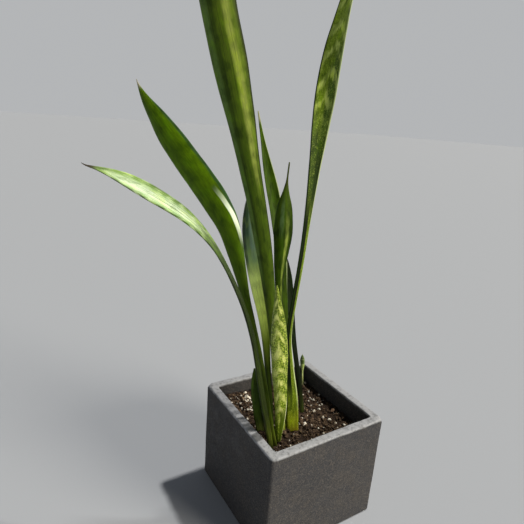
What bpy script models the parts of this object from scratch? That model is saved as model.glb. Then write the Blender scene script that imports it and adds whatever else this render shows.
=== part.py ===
"""A snake plant in a square planter, with its soil, perlite and bark.

Units are metres and +Z is up. The origin is the middle of the pot's underside, which stands
on z = 0, and the pot's sides run along X and Y. Angles are in degrees, and compass angles
are counted from +X towards +Y.
"""

import math

import bmesh
import bpy
from mathutils import Vector, noise

# Pot
POT_WIDTH = 0.150  # outside, along X and along Y
POT_HEIGHT = 0.128
POT_WALL = 0.010
POT_FLOOR = 0.012
OUTER_CORNER_RADIUS = 0.0035
INNER_CORNER_RADIUS = 0.0030
EDGE_ROUNDING = 0.0016  # the rim and the edge round the foot
CORNER_STEPS = 4
EDGE_STEPS = 2

# Gaps between pieces that touch
WALL_GAP = 0.0003  # soil to pot
BED_GAP = 0.0005  # soil to whatever is bedded in it

# Soil
SOIL_DROP = 0.0185  # from the rim down to the middle of the soil
SOIL_FALL_X = 0.060  # how much lower it lies per metre towards +X
SOIL_RISE_Y = 0.015
SOIL_LUMPS = 0.0012
LUMP_SPACING = 0.022
SOIL_CELLS = 12

# Plant
CLUMP_FROM_SIDE = 0.011  # the nearest leaf's root, from the inner wall on the -X side
CLUMP_FROM_FRONT = 0.024  # and from the inner wall on the -Y side
SHOOT_FROM_SIDE = 0.012  # the young shoot, from the inner wall on the +X side
SHOOT_FROM_BACK = 0.018
BED_DEPTH = 0.014  # how deep a leaf's base sits in the soil
LEAF_RINGS = 18
TIP_CROWDING = 1.3  # above 1, the rings lie closer together near the tip
SPINE_STEPS = 160
MARGIN_THINNING = 0.6  # how much thinner a leaf is at its margin than in its middle
MOST_THICKNESS = 0.8  # of the leaf's width, where it is narrowest
CHANNEL_CENTRE = 0.4  # keeps a channelled section's middle on the leaf's spine

# Loose grains
GRAIN_SINK = 0.30  # the share of a grain's radius that lies below the soil's surface
GRAIN_LUMPS = 0.22  # how far its bumps stand out, as a share of its radius
GRAIN_LUMP_SCALE = 1.7
GRAIN_TURN = 47  # from one perlite grain to the next
CORNER_ALLOWANCE = 1.6  # a coarse ball's corners grow by more than the gap its faces need

INNER_HALF = POT_WIDTH / 2 - POT_WALL
SOIL_HALF = INNER_HALF - WALL_GAP
SOIL_BOTTOM = POT_FLOOR + WALL_GAP
SOIL_LEVEL = POT_HEIGHT - SOIL_DROP

# Each leaf's root is measured from the clump's middle. It grows towards the compass angle
# heading, and lean is its angle from upright. Turn is how far its upper face is twisted
# from facing straight back along that heading. Lists pair a share of the length with a value.
LEAVES = {
    "leaf_tall_centre": dict(
        root=(0.001, 0.003), heading=-174, length=0.600,
        lean=((0, 10), (0.2, 11), (0.35, 14), (0.5, 17.5), (0.65, 18), (1, 17)),
        turn=((0, 60), (0.4, 45), (1, 30)),
        width=((0, 0.009), (0.15, 0.0085), (0.25, 0.010), (0.35, 0.0145), (0.5, 0.0185),
               (0.6, 0.0272), (0.7, 0.0288), (0.8, 0.0272), (0.9, 0.019), (0.97, 0.007), (1, 0.0014)),
        thickness=((0, 0.0050), (0.3, 0.0036), (0.6, 0.0026), (1, 0.0012)), cup=0.16,
        color=(0.10, 0.20, 0.03)),
    "leaf_tall_right": dict(
        root=(0.015, 0.001), heading=-20, length=0.560,
        lean=((0, -5), (0.12, -9), (0.17, -8), (0.21, 0), (0.28, 5), (0.45, 2), (0.65, 5),
              (0.78, 12), (1, 16)),
        turn=((0, 90), (0.2, 105), (0.4, 120), (0.62, 70), (0.77, 15), (1, -20)),
        width=((0, 0.0135), (0.1, 0.0135), (0.15, 0.009), (0.2, 0.0065), (0.38, 0.0075),
               (0.5, 0.0115), (0.6, 0.0170), (0.7, 0.021), (0.8, 0.020), (0.9, 0.014),
               (0.97, 0.006), (1, 0.0014)),
        thickness=((0, 0.0075), (0.12, 0.0070), (0.2, 0.0045), (0.5, 0.0030), (1, 0.0012)),
        cup=0.16, color=(0.16, 0.28, 0.04)),
    "leaf_left_broad": dict(
        root=(-0.018, -0.012), heading=123, length=0.410,
        lean=((0, 15), (0.18, 14), (0.33, 19), (0.48, 17), (0.55, 22), (0.62, 37), (0.7, 44),
              (0.85, 44), (0.93, 39), (1, 28)),
        turn=((0, 70), (0.5, 95), (1, 95)),
        width=((0, 0.0065), (0.25, 0.0078), (0.39, 0.0095), (0.52, 0.0185), (0.6, 0.0268),
               (0.67, 0.0305), (0.83, 0.0278), (0.9, 0.021), (0.96, 0.009), (1, 0.0014)),
        thickness=((0, 0.0045), (0.4, 0.0034), (0.7, 0.0024), (1, 0.0012)), cup=0.14,
        color=(0.08, 0.18, 0.02)),
    "leaf_left_arching": dict(
        root=(-0.025, -0.016), heading=161, length=0.358,
        lean=((0, 10), (0.12, 13), (0.26, 11), (0.4, 17), (0.5, 24), (0.6, 29), (0.68, 41),
              (0.8, 58), (0.92, 65), (1, 78)),
        turn=((0, -60), (0.6, -50), (1, -40)),
        width=((0, 0.0066), (0.3, 0.0062), (0.5, 0.0048), (0.62, 0.0052), (0.7, 0.010),
               (0.78, 0.0155), (0.86, 0.0168), (0.92, 0.0128), (0.97, 0.0046), (1, 0.0012)),
        thickness=((0, 0.0045), (0.4, 0.0034), (0.7, 0.0024), (1, 0.0012)), cup=0.18,
        color=(0.35, 0.50, 0.18)),
    "leaf_back_narrow": dict(
        root=(0.020, 0.010), heading=113, length=0.350,
        lean=((0, 9), (0.5, 10), (0.65, 14), (0.8, 19), (1, 15)),
        turn=((0, -20), (1, -45)),
        width=((0, 0.0072), (0.3, 0.0062), (0.42, 0.0070), (0.53, 0.0108), (0.64, 0.0140),
               (0.74, 0.0138), (0.82, 0.0112), (0.9, 0.0055), (0.95, 0.003), (1, 0.0012)),
        thickness=((0, 0.0042), (0.5, 0.0028), (1, 0.0012)), cup=0.16,
        color=(0.09, 0.20, 0.02)),
    "leaf_middle_pointed": dict(
        root=(0.007, 0.009), heading=-31, length=0.296,
        lean=((0, -6), (0.5, -6), (0.6, -3), (0.69, 2), (0.8, -2), (0.9, 1), (1, 3)),
        turn=((0, -90), (1, -90)),
        width=((0, 0.0066), (0.5, 0.0063), (0.58, 0.008), (0.68, 0.014), (0.77, 0.0195),
               (0.84, 0.0165), (0.89, 0.009), (0.93, 0.002), (1, 0.0012)),
        thickness=((0, 0.0042), (0.5, 0.0030), (1, 0.0012)), cup=0.18,
        color=(0.08, 0.19, 0.03)),
    "leaf_left_upright": dict(
        root=(-0.010, 0.007), heading=171, length=0.285,
        lean=((0, 6), (0.25, 8), (0.4, 8), (0.6, 15), (0.75, 12), (0.85, 5), (1, -20)),
        turn=((0, 60), (1, 50)),
        width=((0, 0.0062), (0.28, 0.0064), (0.38, 0.0078), (0.5, 0.013), (0.58, 0.0165),
               (0.7, 0.018), (0.82, 0.0165), (0.9, 0.012), (0.96, 0.006), (1, 0.0014)),
        thickness=((0, 0.0040), (0.5, 0.0028), (1, 0.0012)), cup=0.18,
        color=(0.12, 0.24, 0.08)),
    "leaf_front_mottled": dict(
        root=(-0.011, -0.009), heading=-142, length=0.203,
        lean=((0, 4), (0.12, 2), (0.22, 11), (0.35, 20), (0.55, 15), (0.75, 17), (1, 22)),
        turn=((0, 12), (1, 12)),
        width=((0, 0.0055), (0.1, 0.0095), (0.2, 0.0125), (0.38, 0.014), (0.5, 0.0158),
               (0.6, 0.0165), (0.7, 0.0155), (0.8, 0.012), (0.9, 0.0065), (1, 0.0014)),
        thickness=((0, 0.0042), (0.5, 0.0032), (1, 0.0012)), cup=0.22,
        color=(0.42, 0.50, 0.10)),
    "leaf_back_dark": dict(
        root=(0.046, 0.025), heading=139, length=0.200,
        lean=((0, 9), (0.3, 12), (0.6, 10), (1, 12)),
        turn=((0, -60), (1, -60)),
        width=((0, 0.0056), (0.43, 0.0056), (0.6, 0.0075), (0.72, 0.0098), (0.84, 0.0105),
               (0.92, 0.0078), (1, 0.0014)),
        thickness=((0, 0.0038), (0.5, 0.0030), (1, 0.0012)), cup=0.16,
        color=(0.03, 0.07, 0.02)),
    "leaf_left_short": dict(
        root=(-0.020, 0.014), heading=129, length=0.075,
        lean=((0, 9), (0.5, 11), (1, 4)),
        turn=((0, -50), (1, -50)),
        width=((0, 0.009), (0.35, 0.012), (0.6, 0.0115), (0.82, 0.008), (1, 0.0014)),
        thickness=((0, 0.0036), (0.5, 0.0028), (1, 0.0012)), cup=0.20,
        color=(0.04, 0.10, 0.03)),
}

# The young shoot is a rolled leaf, so its section is nearly round.
YOUNG_SHOOT = dict(
    heading=149, length=0.047,
    lean=((0, 8), (0.6, 5), (1, 6)),
    turn=((0, 0), (1, 0)),
    width=((0, 0.0030), (0.45, 0.0030), (0.65, 0.0052), (0.85, 0.0052), (1, 0.0014)),
    thickness=((0, 0.0028), (0.45, 0.0028), (0.65, 0.0048), (0.85, 0.0048), (1, 0.0012)),
    cup=0.0, color=(0.35, 0.45, 0.20))

# Loose grains, listed under the corner of the soil that they are counted from, as the signs
# of its X and Y. Each is (from the wall on X, from the wall on Y, size), and a chip of bark
# also has the angle it lies at.
PERLITE = {
    (-1, 1): ((0.035, 0.008, 0.0046), (0.033, 0.016, 0.0050), (0.018, 0.026, 0.0036),
              (0.020, 0.040, 0.0038)),
    (1, 1): ((0.014, 0.034, 0.0034), (0.020, 0.052, 0.0036), (0.006, 0.045, 0.0032),
             (0.034, 0.071, 0.0044), (0.016, 0.064, 0.0034)),
    (1, -1): ((0.032, 0.044, 0.0046), (0.057, 0.052, 0.0032), (0.050, 0.020, 0.0036),
              (0.024, 0.030, 0.0034)),
}
BARK = {
    (1, -1): ((0.012, 0.050, 0.0090, 20),),
    (-1, -1): ((0.022, 0.011, 0.0080, 75),),
    (-1, 1): ((0.035, 0.035, 0.0085, 130),),
}
PERLITE_SHAPE = (1.0, 0.8, 0.75)  # length, width and height as shares of a grain's size
BARK_SHAPE = (1.0, 0.5, 0.35)
PERLITE_WHITE = (0.85, 0.83, 0.76)
BARK_BROWN = (0.16, 0.09, 0.05)


def material(name, color, roughness, metallic=0.0):
    made = bpy.data.materials.new(name)
    made.use_nodes = True
    shader = made.node_tree.nodes["Principled BSDF"]
    shader.inputs["Base Color"].default_value = (*color, 1.0)
    shader.inputs["Roughness"].default_value = roughness
    shader.inputs["Metallic"].default_value = metallic
    return made


def new_object(name, bm, finish, parent):
    """An object made of this bmesh, with its faces turned outwards."""
    bmesh.ops.recalc_face_normals(bm, faces=bm.faces)
    mesh = bpy.data.meshes.new(name)
    bm.to_mesh(mesh)
    bm.free()
    obj = bpy.data.objects.new(name, mesh)
    bpy.context.scene.collection.objects.link(obj)
    obj.parent = parent
    if finish is not None:
        obj.data.materials.append(finish)
    return obj


def as_cutter(obj):
    obj.hide_render = True
    obj.display_type = "WIRE"
    return obj


def smooth_value(stations, t):
    """The value at t on a curve through the (t, value) stations, without overshoot."""
    if t <= stations[0][0]:
        return stations[0][1]
    if t >= stations[-1][0]:
        return stations[-1][1]
    rises = [(b[1] - a[1]) / (b[0] - a[0]) for a, b in zip(stations, stations[1:])]
    slopes = [rises[0]]
    for before, after in zip(rises, rises[1:]):
        same_way = before * after > 0
        slopes.append(2 * before * after / (before + after) if same_way else 0.0)
    slopes.append(rises[-1])
    i = max(k for k in range(len(rises)) if stations[k][0] <= t)
    (t0, v0), (t1, v1) = stations[i], stations[i + 1]
    span = t1 - t0
    u = (t - t0) / span
    return (
        v0 * (1 + 2 * u) * (1 - u) ** 2
        + v1 * u * u * (3 - 2 * u)
        + span * (slopes[i] * u * (1 - u) ** 2 - slopes[i + 1] * u * u * (1 - u))
    )


def soil_height(x, y):
    lumps = noise.noise(Vector((x, y, 0)) / LUMP_SPACING)
    return SOIL_LEVEL - SOIL_FALL_X * x + SOIL_RISE_Y * y + SOIL_LUMPS * lumps


def tangent_at(leaf, t):
    """The leaf's direction of growth at a share t of its length."""
    lean = math.radians(smooth_value(leaf["lean"], t))
    heading = math.radians(leaf["heading"])
    flat = math.sin(lean)
    return Vector((flat * math.cos(heading), flat * math.sin(heading), math.cos(lean)))


def spine_point(leaf, root, t):
    """The middle of the leaf at t. Below t = 0 it runs straight on into the soil."""
    if t <= 0:
        return root + tangent_at(leaf, 0) * t * leaf["length"]
    steps = max(1, round(t * SPINE_STEPS))
    stride = t / steps
    point = root.copy()
    for i in range(steps):
        point += tangent_at(leaf, (i + 0.5) * stride) * stride * leaf["length"]
    return point


def section(leaf, t, grow):
    """The leaf's ring at t: (across, towards the upper face) pairs, grown all round."""
    width = smooth_value(leaf["width"], t)
    thick = min(smooth_value(leaf["thickness"], t), MOST_THICKNESS * width)
    under = []
    upper = []
    for share in (-1, -0.5, 0, 0.5, 1):
        across = share * (width / 2 + grow)
        middle = leaf["cup"] * width * (share * share - CHANNEL_CENTRE)
        half = thick / 2 * (1 - MARGIN_THINNING * share * share) + grow
        under.append((across, middle - half))
        upper.append((across, middle + half))
    return under + upper[::-1]


def leaf_ring(leaf, root, t, grow=0.0):
    """The ring at t as points in space."""
    tangent = tangent_at(leaf, t)
    heading = math.radians(leaf["heading"])
    side = Vector((-math.sin(heading), math.cos(heading), 0))
    turn = math.radians(smooth_value(leaf["turn"], t))
    inward = tangent.cross(side)
    across = side * math.cos(turn) + inward * math.sin(turn)
    upward = inward * math.cos(turn) - side * math.sin(turn)
    middle = spine_point(leaf, root, t)
    return [middle + across * a + upward * b for a, b in section(leaf, t, grow)]


def loft(bm, rings):
    """A closed skin over rings of equally many points."""
    rows = [[bm.verts.new(point) for point in ring] for ring in rings]
    for low, high in zip(rows, rows[1:]):
        for i in range(len(low)):
            j = (i + 1) % len(low)
            bm.faces.new((low[i], low[j], high[j], high[i]))
    bm.faces.new(rows[0][::-1])
    bm.faces.new(rows[-1])


def ring_places():
    """Shares of a leaf's length for its rings above the soil."""
    return [1 - (1 - i / LEAF_RINGS) ** TIP_CROWDING for i in range(1, LEAF_RINGS + 1)]


def leaf_object(name, leaf, root, parent):
    bm = bmesh.new()
    places = [-BED_DEPTH / leaf["length"], 0.0, *ring_places()]
    loft(bm, [leaf_ring(leaf, root, t) for t in places])
    return new_object(name, bm, material(name, leaf["color"], 0.4), parent)


def leaf_socket(bm, leaf, root):
    """The room that the leaf's base takes in the soil, with its gap, added to the cutter."""
    gap = BED_GAP / leaf["length"]
    bottom = leaf_ring(leaf, root, -BED_DEPTH / leaf["length"] - gap, BED_GAP)
    top = leaf_ring(leaf, root, BED_DEPTH / leaf["length"], BED_GAP)
    loft(bm, [bottom, top])


def grain(bm, place, size, shape, angle, seed, grow=0.0):
    """A lumpy grain, unlike any with another seed, and the same grain grown all round."""
    made = bmesh.ops.create_icosphere(bm, subdivisions=1, radius=1.0)["verts"]
    turn = math.radians(angle)
    offset = Vector((seed, seed, 0)) * math.pi
    for vert in made:
        bump = 1 + GRAIN_LUMPS * noise.noise(vert.co * GRAIN_LUMP_SCALE + offset)
        radii = [size / 2 * share * bump + grow * CORNER_ALLOWANCE for share in shape]
        x, y, z = (c * radius for c, radius in zip(vert.co, radii))
        turned = Vector((x * math.cos(turn) - y * math.sin(turn),
                         x * math.sin(turn) + y * math.cos(turn), z))
        vert.co = place + turned


def grain_list():
    """Every loose grain as (name, x, y, size, shape, angle, colour)."""
    grains = []
    for (side_x, side_y), places in PERLITE.items():
        for from_x, from_y, size in places:
            x = side_x * (INNER_HALF - from_x)
            y = side_y * (INNER_HALF - from_y)
            name = f"perlite_{len(grains) + 1:02d}"
            angle = GRAIN_TURN * len(grains)
            grains.append((name, x, y, size, PERLITE_SHAPE, angle, PERLITE_WHITE))
    for number, ((side_x, side_y), places) in enumerate(BARK.items(), start=1):
        for from_x, from_y, size, angle in places:
            x = side_x * (INNER_HALF - from_x)
            y = side_y * (INNER_HALF - from_y)
            grains.append((f"bark_chip_{number}", x, y, size, BARK_SHAPE, angle, BARK_BROWN))
    return grains


def grain_place(x, y, size, shape):
    radius = size * shape[2] / 2
    return Vector((x, y, soil_height(x, y) + radius * (1 - GRAIN_SINK)))


def round_edges(bm, edges, radius, steps):
    bmesh.ops.bevel(bm, geom=edges, offset=radius, offset_type="OFFSET", segments=steps,
                    profile=0.5, affect="EDGES")
    bm.normal_update()


def rounded_block(bm, half, bottom, top, corner_radius):
    """An upright square block with rounded upright edges."""
    made = bmesh.ops.create_cube(bm, size=2 * half)["verts"]
    for vert in made:
        vert.co.z = top if vert.co.z > 0 else bottom
    upright = [e for e in bm.edges if abs(e.verts[0].co.z - e.verts[1].co.z) > (top - bottom) / 2]
    round_edges(bm, upright, corner_radius, CORNER_STEPS)


def make_pot(parent):
    bm = bmesh.new()
    rounded_block(bm, POT_WIDTH / 2, 0.0, POT_HEIGHT, OUTER_CORNER_RADIUS)
    pot = new_object("pot", bm, material("pot_stone", (0.09, 0.09, 0.09), 0.75), parent)
    bm = bmesh.new()
    above_rim = POT_HEIGHT + POT_WALL
    rounded_block(bm, INNER_HALF, POT_FLOOR, above_rim, INNER_CORNER_RADIUS)
    cavity = as_cutter(new_object("pot_cavity_cutter", bm, None, parent))
    hollow = pot.modifiers.new("hollow", "BOOLEAN")
    hollow.operation = "DIFFERENCE"
    hollow.object = cavity
    rounding = pot.modifiers.new("rounding", "BEVEL")
    rounding.width = EDGE_ROUNDING
    rounding.segments = EDGE_STEPS
    rounding.limit_method = "ANGLE"
    rounding.angle_limit = math.radians(60)
    return pot


def make_soil(parent, plants):
    """The soil block, its uneven top cut open wherever something is bedded in it."""
    bm = bmesh.new()
    bmesh.ops.create_grid(bm, x_segments=SOIL_CELLS, y_segments=SOIL_CELLS, size=SOIL_HALF)
    for vert in bm.verts:
        vert.co.z = soil_height(vert.co.x, vert.co.y)
    pulled = bmesh.ops.extrude_face_region(bm, geom=bm.faces[:])["geom"]
    for item in pulled:
        if isinstance(item, bmesh.types.BMVert):
            item.co.z = SOIL_BOTTOM
    bmesh.ops.recalc_face_normals(bm, faces=bm.faces)
    corners = [
        e for e in bm.edges
        if all(abs(v.co.x) > SOIL_HALF - WALL_GAP and abs(v.co.y) > SOIL_HALF - WALL_GAP
               for v in e.verts)
    ]
    round_edges(bm, corners, INNER_CORNER_RADIUS, CORNER_STEPS)
    low = SOIL_BOTTOM + WALL_GAP
    foot = [
        e for e in bm.edges
        if all(v.co.z < low for v in e.verts) and any(f.normal.z > -0.5 for f in e.link_faces)
    ]
    round_edges(bm, foot, EDGE_ROUNDING, EDGE_STEPS)
    soil = new_object("soil", bm, material("soil", (0.07, 0.045, 0.03), 0.95), parent)
    bm = bmesh.new()
    for leaf, root in plants:
        leaf_socket(bm, leaf, root)
    for seed, (_, x, y, size, shape, angle, _) in enumerate(grain_list()):
        grain(bm, grain_place(x, y, size, shape), size, shape, angle, seed, BED_GAP)
    bedding = as_cutter(new_object("bedding_cutter", bm, None, parent))
    beds = soil.modifiers.new("beds", "BOOLEAN")
    beds.operation = "DIFFERENCE"
    beds.object = bedding
    beds.use_self = True
    return soil


def make_leaves(parent):
    """Every leaf and the shoot. The result lists each with its root, for the soil's sockets."""
    clump_x = -INNER_HALF + CLUMP_FROM_SIDE - min(leaf["root"][0] for leaf in LEAVES.values())
    clump_y = -INNER_HALF + CLUMP_FROM_FRONT - min(leaf["root"][1] for leaf in LEAVES.values())
    plants = []
    for name, leaf in LEAVES.items():
        x = clump_x + leaf["root"][0]
        y = clump_y + leaf["root"][1]
        root = Vector((x, y, soil_height(x, y)))
        leaf_object(name, leaf, root, parent)
        plants.append((leaf, root))
    x = INNER_HALF - SHOOT_FROM_SIDE
    y = INNER_HALF - SHOOT_FROM_BACK
    root = Vector((x, y, soil_height(x, y)))
    leaf_object("young_shoot", YOUNG_SHOOT, root, parent)
    plants.append((YOUNG_SHOOT, root))
    return plants


def make_grains(parent):
    for seed, (name, x, y, size, shape, angle, color) in enumerate(grain_list()):
        bm = bmesh.new()
        grain(bm, grain_place(x, y, size, shape), size, shape, angle, seed)
        new_object(name, bm, material(name, color, 0.9), parent)


def main():
    for obj in list(bpy.data.objects):
        bpy.data.objects.remove(obj, do_unlink=True)
    stand = bpy.data.objects.new("potted_snake_plant", None)
    bpy.context.scene.collection.objects.link(stand)
    make_pot(stand)
    plants = make_leaves(stand)
    make_soil(stand, plants)
    make_grains(stand)


main()
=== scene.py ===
# %% [markdown]
# # A potted snake plant
# A clump of thick sword-shaped leaves stands in a square pot of anthracite stone mix.
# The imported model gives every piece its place, so it is loaded first, and each finer
# piece is built in the space of the plain solid that it stands for.

# %% Load the frame
import math
import random
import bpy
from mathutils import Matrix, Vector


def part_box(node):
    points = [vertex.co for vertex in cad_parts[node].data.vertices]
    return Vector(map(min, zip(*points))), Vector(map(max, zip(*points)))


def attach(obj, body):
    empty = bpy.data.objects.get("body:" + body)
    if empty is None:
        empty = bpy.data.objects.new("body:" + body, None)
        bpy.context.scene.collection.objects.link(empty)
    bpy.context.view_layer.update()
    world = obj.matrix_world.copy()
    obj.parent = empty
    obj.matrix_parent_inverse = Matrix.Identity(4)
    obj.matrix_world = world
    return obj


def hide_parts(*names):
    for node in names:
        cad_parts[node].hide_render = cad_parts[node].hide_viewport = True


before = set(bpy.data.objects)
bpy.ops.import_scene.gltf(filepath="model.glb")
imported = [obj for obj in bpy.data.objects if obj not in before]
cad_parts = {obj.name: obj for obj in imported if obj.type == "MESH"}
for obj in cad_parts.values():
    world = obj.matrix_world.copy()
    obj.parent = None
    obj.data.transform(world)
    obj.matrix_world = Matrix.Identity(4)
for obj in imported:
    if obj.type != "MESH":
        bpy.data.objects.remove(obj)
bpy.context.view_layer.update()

from types import SimpleNamespace

import bpy
import numpy as np
from mathutils import Matrix, Vector, noise

# %% [markdown]
# ## Camera
# The camera stands a little above the pot's rim, in front of one of its upright edges. It
# could be aimed at an empty by a constraint, but then it would stand dead level. It is
# written as three directions that stand square to each other, so that the small tilt of a
# hand-held camera is kept.

# %% Camera
VIEW_TURN, VIEW_HEIGHT, VIEW_TILT = map(math.radians, (-32.49, 17.03, 4.08))
EYE_BACK, EYE_LEFT, EYE_UP = 0.578, 0.0264, 0.286
LENS, FILM_WIDTH, NEAREST = 31.4, 36, 0.01
level = Vector((math.cos(VIEW_TURN), math.sin(VIEW_TURN), 0))
backward = Vector((math.sin(VIEW_TURN) * math.cos(VIEW_HEIGHT),
                   -math.cos(VIEW_TURN) * math.cos(VIEW_HEIGHT), math.sin(VIEW_HEIGHT)))
above = backward.cross(level)
rightward = math.cos(VIEW_TILT) * level + math.sin(VIEW_TILT) * above
upward = math.cos(VIEW_TILT) * above - math.sin(VIEW_TILT) * level
eye = EYE_BACK * backward - EYE_LEFT * rightward + EYE_UP * upward

camera = bpy.data.objects.new("camera", bpy.data.cameras.new("camera"))
bpy.context.scene.collection.objects.link(camera)
camera.data.lens, camera.data.sensor_width, camera.data.clip_start = LENS, FILM_WIDTH, NEAREST
axes = Matrix((rightward, upward, backward)).transposed().to_4x4()
camera.matrix_world = Matrix.Translation(eye) @ axes
bpy.context.scene.camera = camera
bpy.context.scene.view_settings.view_transform = "Standard"
print("camera at", [round(v, 3) for v in eye])

# %% [markdown]
# ## Light
# One soft warm light stands high on the right and gives the leaves their bright side. A
# broader, lower one fills the right-hand side of the pot. Lamps close by would fade from the
# near leaf to the far one, so both are suns, which light every leaf alike.

# %% Lights
def far_light(name, towards, strength, softness, tint):
    data = bpy.data.lights.new(name, "SUN")
    data.energy, data.angle, data.color = strength, math.radians(softness), tint
    lamp = bpy.data.objects.new(name, data)
    bpy.context.scene.collection.objects.link(lamp)
    lamp.matrix_world = Vector(towards).to_track_quat("Z", "Y").to_matrix().to_4x4()
    return lamp


for lamp in (far_light("high_key", (0.423, -0.027, 0.906), 3.0, 3.5, (1.0, 0.95, 0.87)),
             far_light("right_fill", (0.50, -0.80, 0.34), 3.8, 26, (1.0, 0.91, 0.76))):
    print("light:", lamp.name, "strength", round(lamp.data.energy, 1))

# %% [markdown]
# The rest of the light comes from a pale room. An even world colour would light the clump
# flat, and modelled walls would be one more thing to build. A world that reads the height of
# each direction can darken overhead, so the dark leaves keep their depth.

# %% Room
PALE_WALLS, DIM_CEILING = (0.455, 0.465, 0.475, 1), (0.10, 0.105, 0.115, 1)
room = bpy.data.worlds.new("room")
room.use_nodes = True
bpy.context.scene.world = room
glow = room.node_tree.nodes["Background"]
sky = room.node_tree.nodes.new("ShaderNodeTexCoord")
upness = room.node_tree.nodes.new("ShaderNodeSeparateXYZ")
fade = room.node_tree.nodes.new("ShaderNodeValToRGB")
room.node_tree.links.new(sky.outputs["Generated"], upness.inputs[0])
room.node_tree.links.new(upness.outputs[2], fade.inputs[0])
room.node_tree.links.new(fade.outputs[0], glow.inputs["Color"])
row = fade.color_ramp.elements
row[0].position, row[1].position = 0.28, 0.60
row[0].color, row[1].color = PALE_WALLS, DIM_CEILING
glow.inputs["Strength"].default_value = 1.0
print("room:", PALE_WALLS[:3], "at the walls and", DIM_CEILING[:3], "overhead")

# %% [markdown]
# ## Paint and patterns
# Colours are mixed as a painter's red, green and blue from 0 to 255, and `paint` turns them
# into the even scale that shaders use. Nodes could be laid out by hand in the editor. Here
# `add` puts one node down, with its settings and whatever feeds it, so that each finish
# below reads as a recipe.

# %% Paint and nodes
def paint(red, green, blue):
    even = [(c / 255) / 12.92 if c < 11 else ((c / 255 + 0.055) / 1.055) ** 2.4
            for c in (red, green, blue)]
    return (*even, 1.0)


def new_finish(name):
    finish = bpy.data.materials.new(name)
    finish.use_nodes = True
    return finish


def add(finish, kind, feeds=None, **settings):
    tree = finish.node_tree
    item = tree.nodes.new("ShaderNode" + kind)
    for name, value in settings.items():
        setattr(item, name, value)
    for socket, value in (feeds or {}).items():
        if isinstance(value, bpy.types.NodeSocket):
            tree.links.new(value, item.inputs[socket])
        else:
            item.inputs[socket].default_value = value
    return item


print("leaf green on the even scale:", [round(c, 3) for c in paint(88, 120, 4)])

# %% [markdown]
# Every finish needs the same three steps: a sum on a pattern, a colour laid over another,
# and a soft step from one value to the next. Each step hands back the socket that carries
# its result, so one can be written inside another, as sums are on paper.

# %% Sums and layers
def calc(finish, operation, first, second=0.0, third=0.0):
    return add(finish, "Math", {0: first, 1: second, 2: third}, operation=operation).outputs[0]


def over(finish, share, below, top, way="MIX"):
    return add(finish, "Mix", {0: share, 6: below, 7: top}, data_type="RGBA",
               blend_type=way, clamp_factor=True).outputs[2]


def between(finish, value, low, high, start=0.0, end=1.0):
    return add(finish, "MapRange", {0: value, 1: low, 2: high, 3: start, 4: end},
               interpolation_type="SMOOTHSTEP").outputs[0]


print("steps:", ", ".join(step.__name__ for step in (calc, over, between)))

# %% [markdown]
# Nothing here is one even colour. Speckle, cloud and streak could be painted as images, but
# they are the same noise at different scales and stretches, and noise stays sharp from any
# distance. `ramp` turns a pattern into colours, and `bumped` lets it catch the light.

# %% Patterns
def grain(finish, where, scale, detail=2.0, roughness=0.5):
    return add(finish, "TexNoise", {"Vector": where, "Scale": scale, "Detail": detail,
                                    "Roughness": roughness}).outputs["Fac"]


def point(finish, x, y, z=0.0):
    return add(finish, "CombineXYZ", {0: x, 1: y, 2: z}).outputs[0]


def ramp(finish, value, stops, smooth=False):
    item = add(finish, "ValToRGB", {0: value})
    item.color_ramp.interpolation = "EASE" if smooth else "LINEAR"
    row = item.color_ramp.elements
    while len(row) < len(stops):
        row.new(0.5)
    for element, (place, tone) in zip(row, stops):
        element.position = place
    for element, (place, tone) in zip(row, stops):
        element.color = tone
    return item.outputs["Color"]


def bumped(finish, shader, height, distance, strength=1.0):
    bump = add(finish, "Bump", {"Height": height, "Distance": distance, "Strength": strength})
    finish.node_tree.links.new(bump.outputs[0], shader.inputs["Normal"])
    return finish


print("patterns:", ", ".join(step.__name__ for step in (grain, point, ramp, bumped)))

# %% [markdown]
# ## The leaf's finish
# A snake plant's leaf is one smooth thick blade, and its colours follow it: stripes run along
# it, bars cross it in jagged chevrons, and fine veins streak both. A pattern that lies still
# in space would cut straight through a leaf that leans and twists. The leaf's own unwrapped
# width and length guide every layer instead, so the pattern bends with the blade.

# %% Places on a leaf
def leaf_places(finish, length, seed):
    """Where a point is on its leaf: across from -1 to 1, out from the middle to a margin,
    share from foot to tip, up in metres, and a slow wander from side to side."""
    unwrapped = add(finish, "TexCoord").outputs["UV"]
    split = add(finish, "SeparateXYZ", {0: unwrapped}).outputs
    across = calc(finish, "MULTIPLY_ADD", split[0], 2.0, -1.0)
    up = calc(finish, "MULTIPLY", split[1], length)
    wander = calc(finish, "SUBTRACT", grain(finish, point(finish, seed, up, 0.3), 30.0), 0.5)
    return SimpleNamespace(finish=finish, seed=seed, across=across, share=split[1], up=up,
                           out=calc(finish, "ABSOLUTE", across), wander=wander)


def leaf_grain(on, across, up, shift, scale=1.0, detail=2.0, roughness=0.5):
    """Noise on a leaf, with its own stretch across and up; shift picks another piece of it."""
    where = point(on.finish, calc(on.finish, "MULTIPLY", on.across, across),
                  calc(on.finish, "MULTIPLY", on.up, up), on.seed + shift)
    return grain(on.finish, where, scale, detail, roughness)


def within(on, mask, rise_from, rise_to, fall_from, fall_to):
    """Keeps a mask to one stretch of the leaf, with a soft start and end."""
    low = between(on.finish, on.share, rise_from, rise_to)
    high = between(on.finish, on.share, fall_from, fall_to, 1.0, 0.0)
    return calc(on.finish, "MULTIPLY", mask, calc(on.finish, "MULTIPLY", low, high))


print("guides on a leaf:", ", ".join(step.__name__ for step in (leaf_places, leaf_grain, within)))
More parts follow.
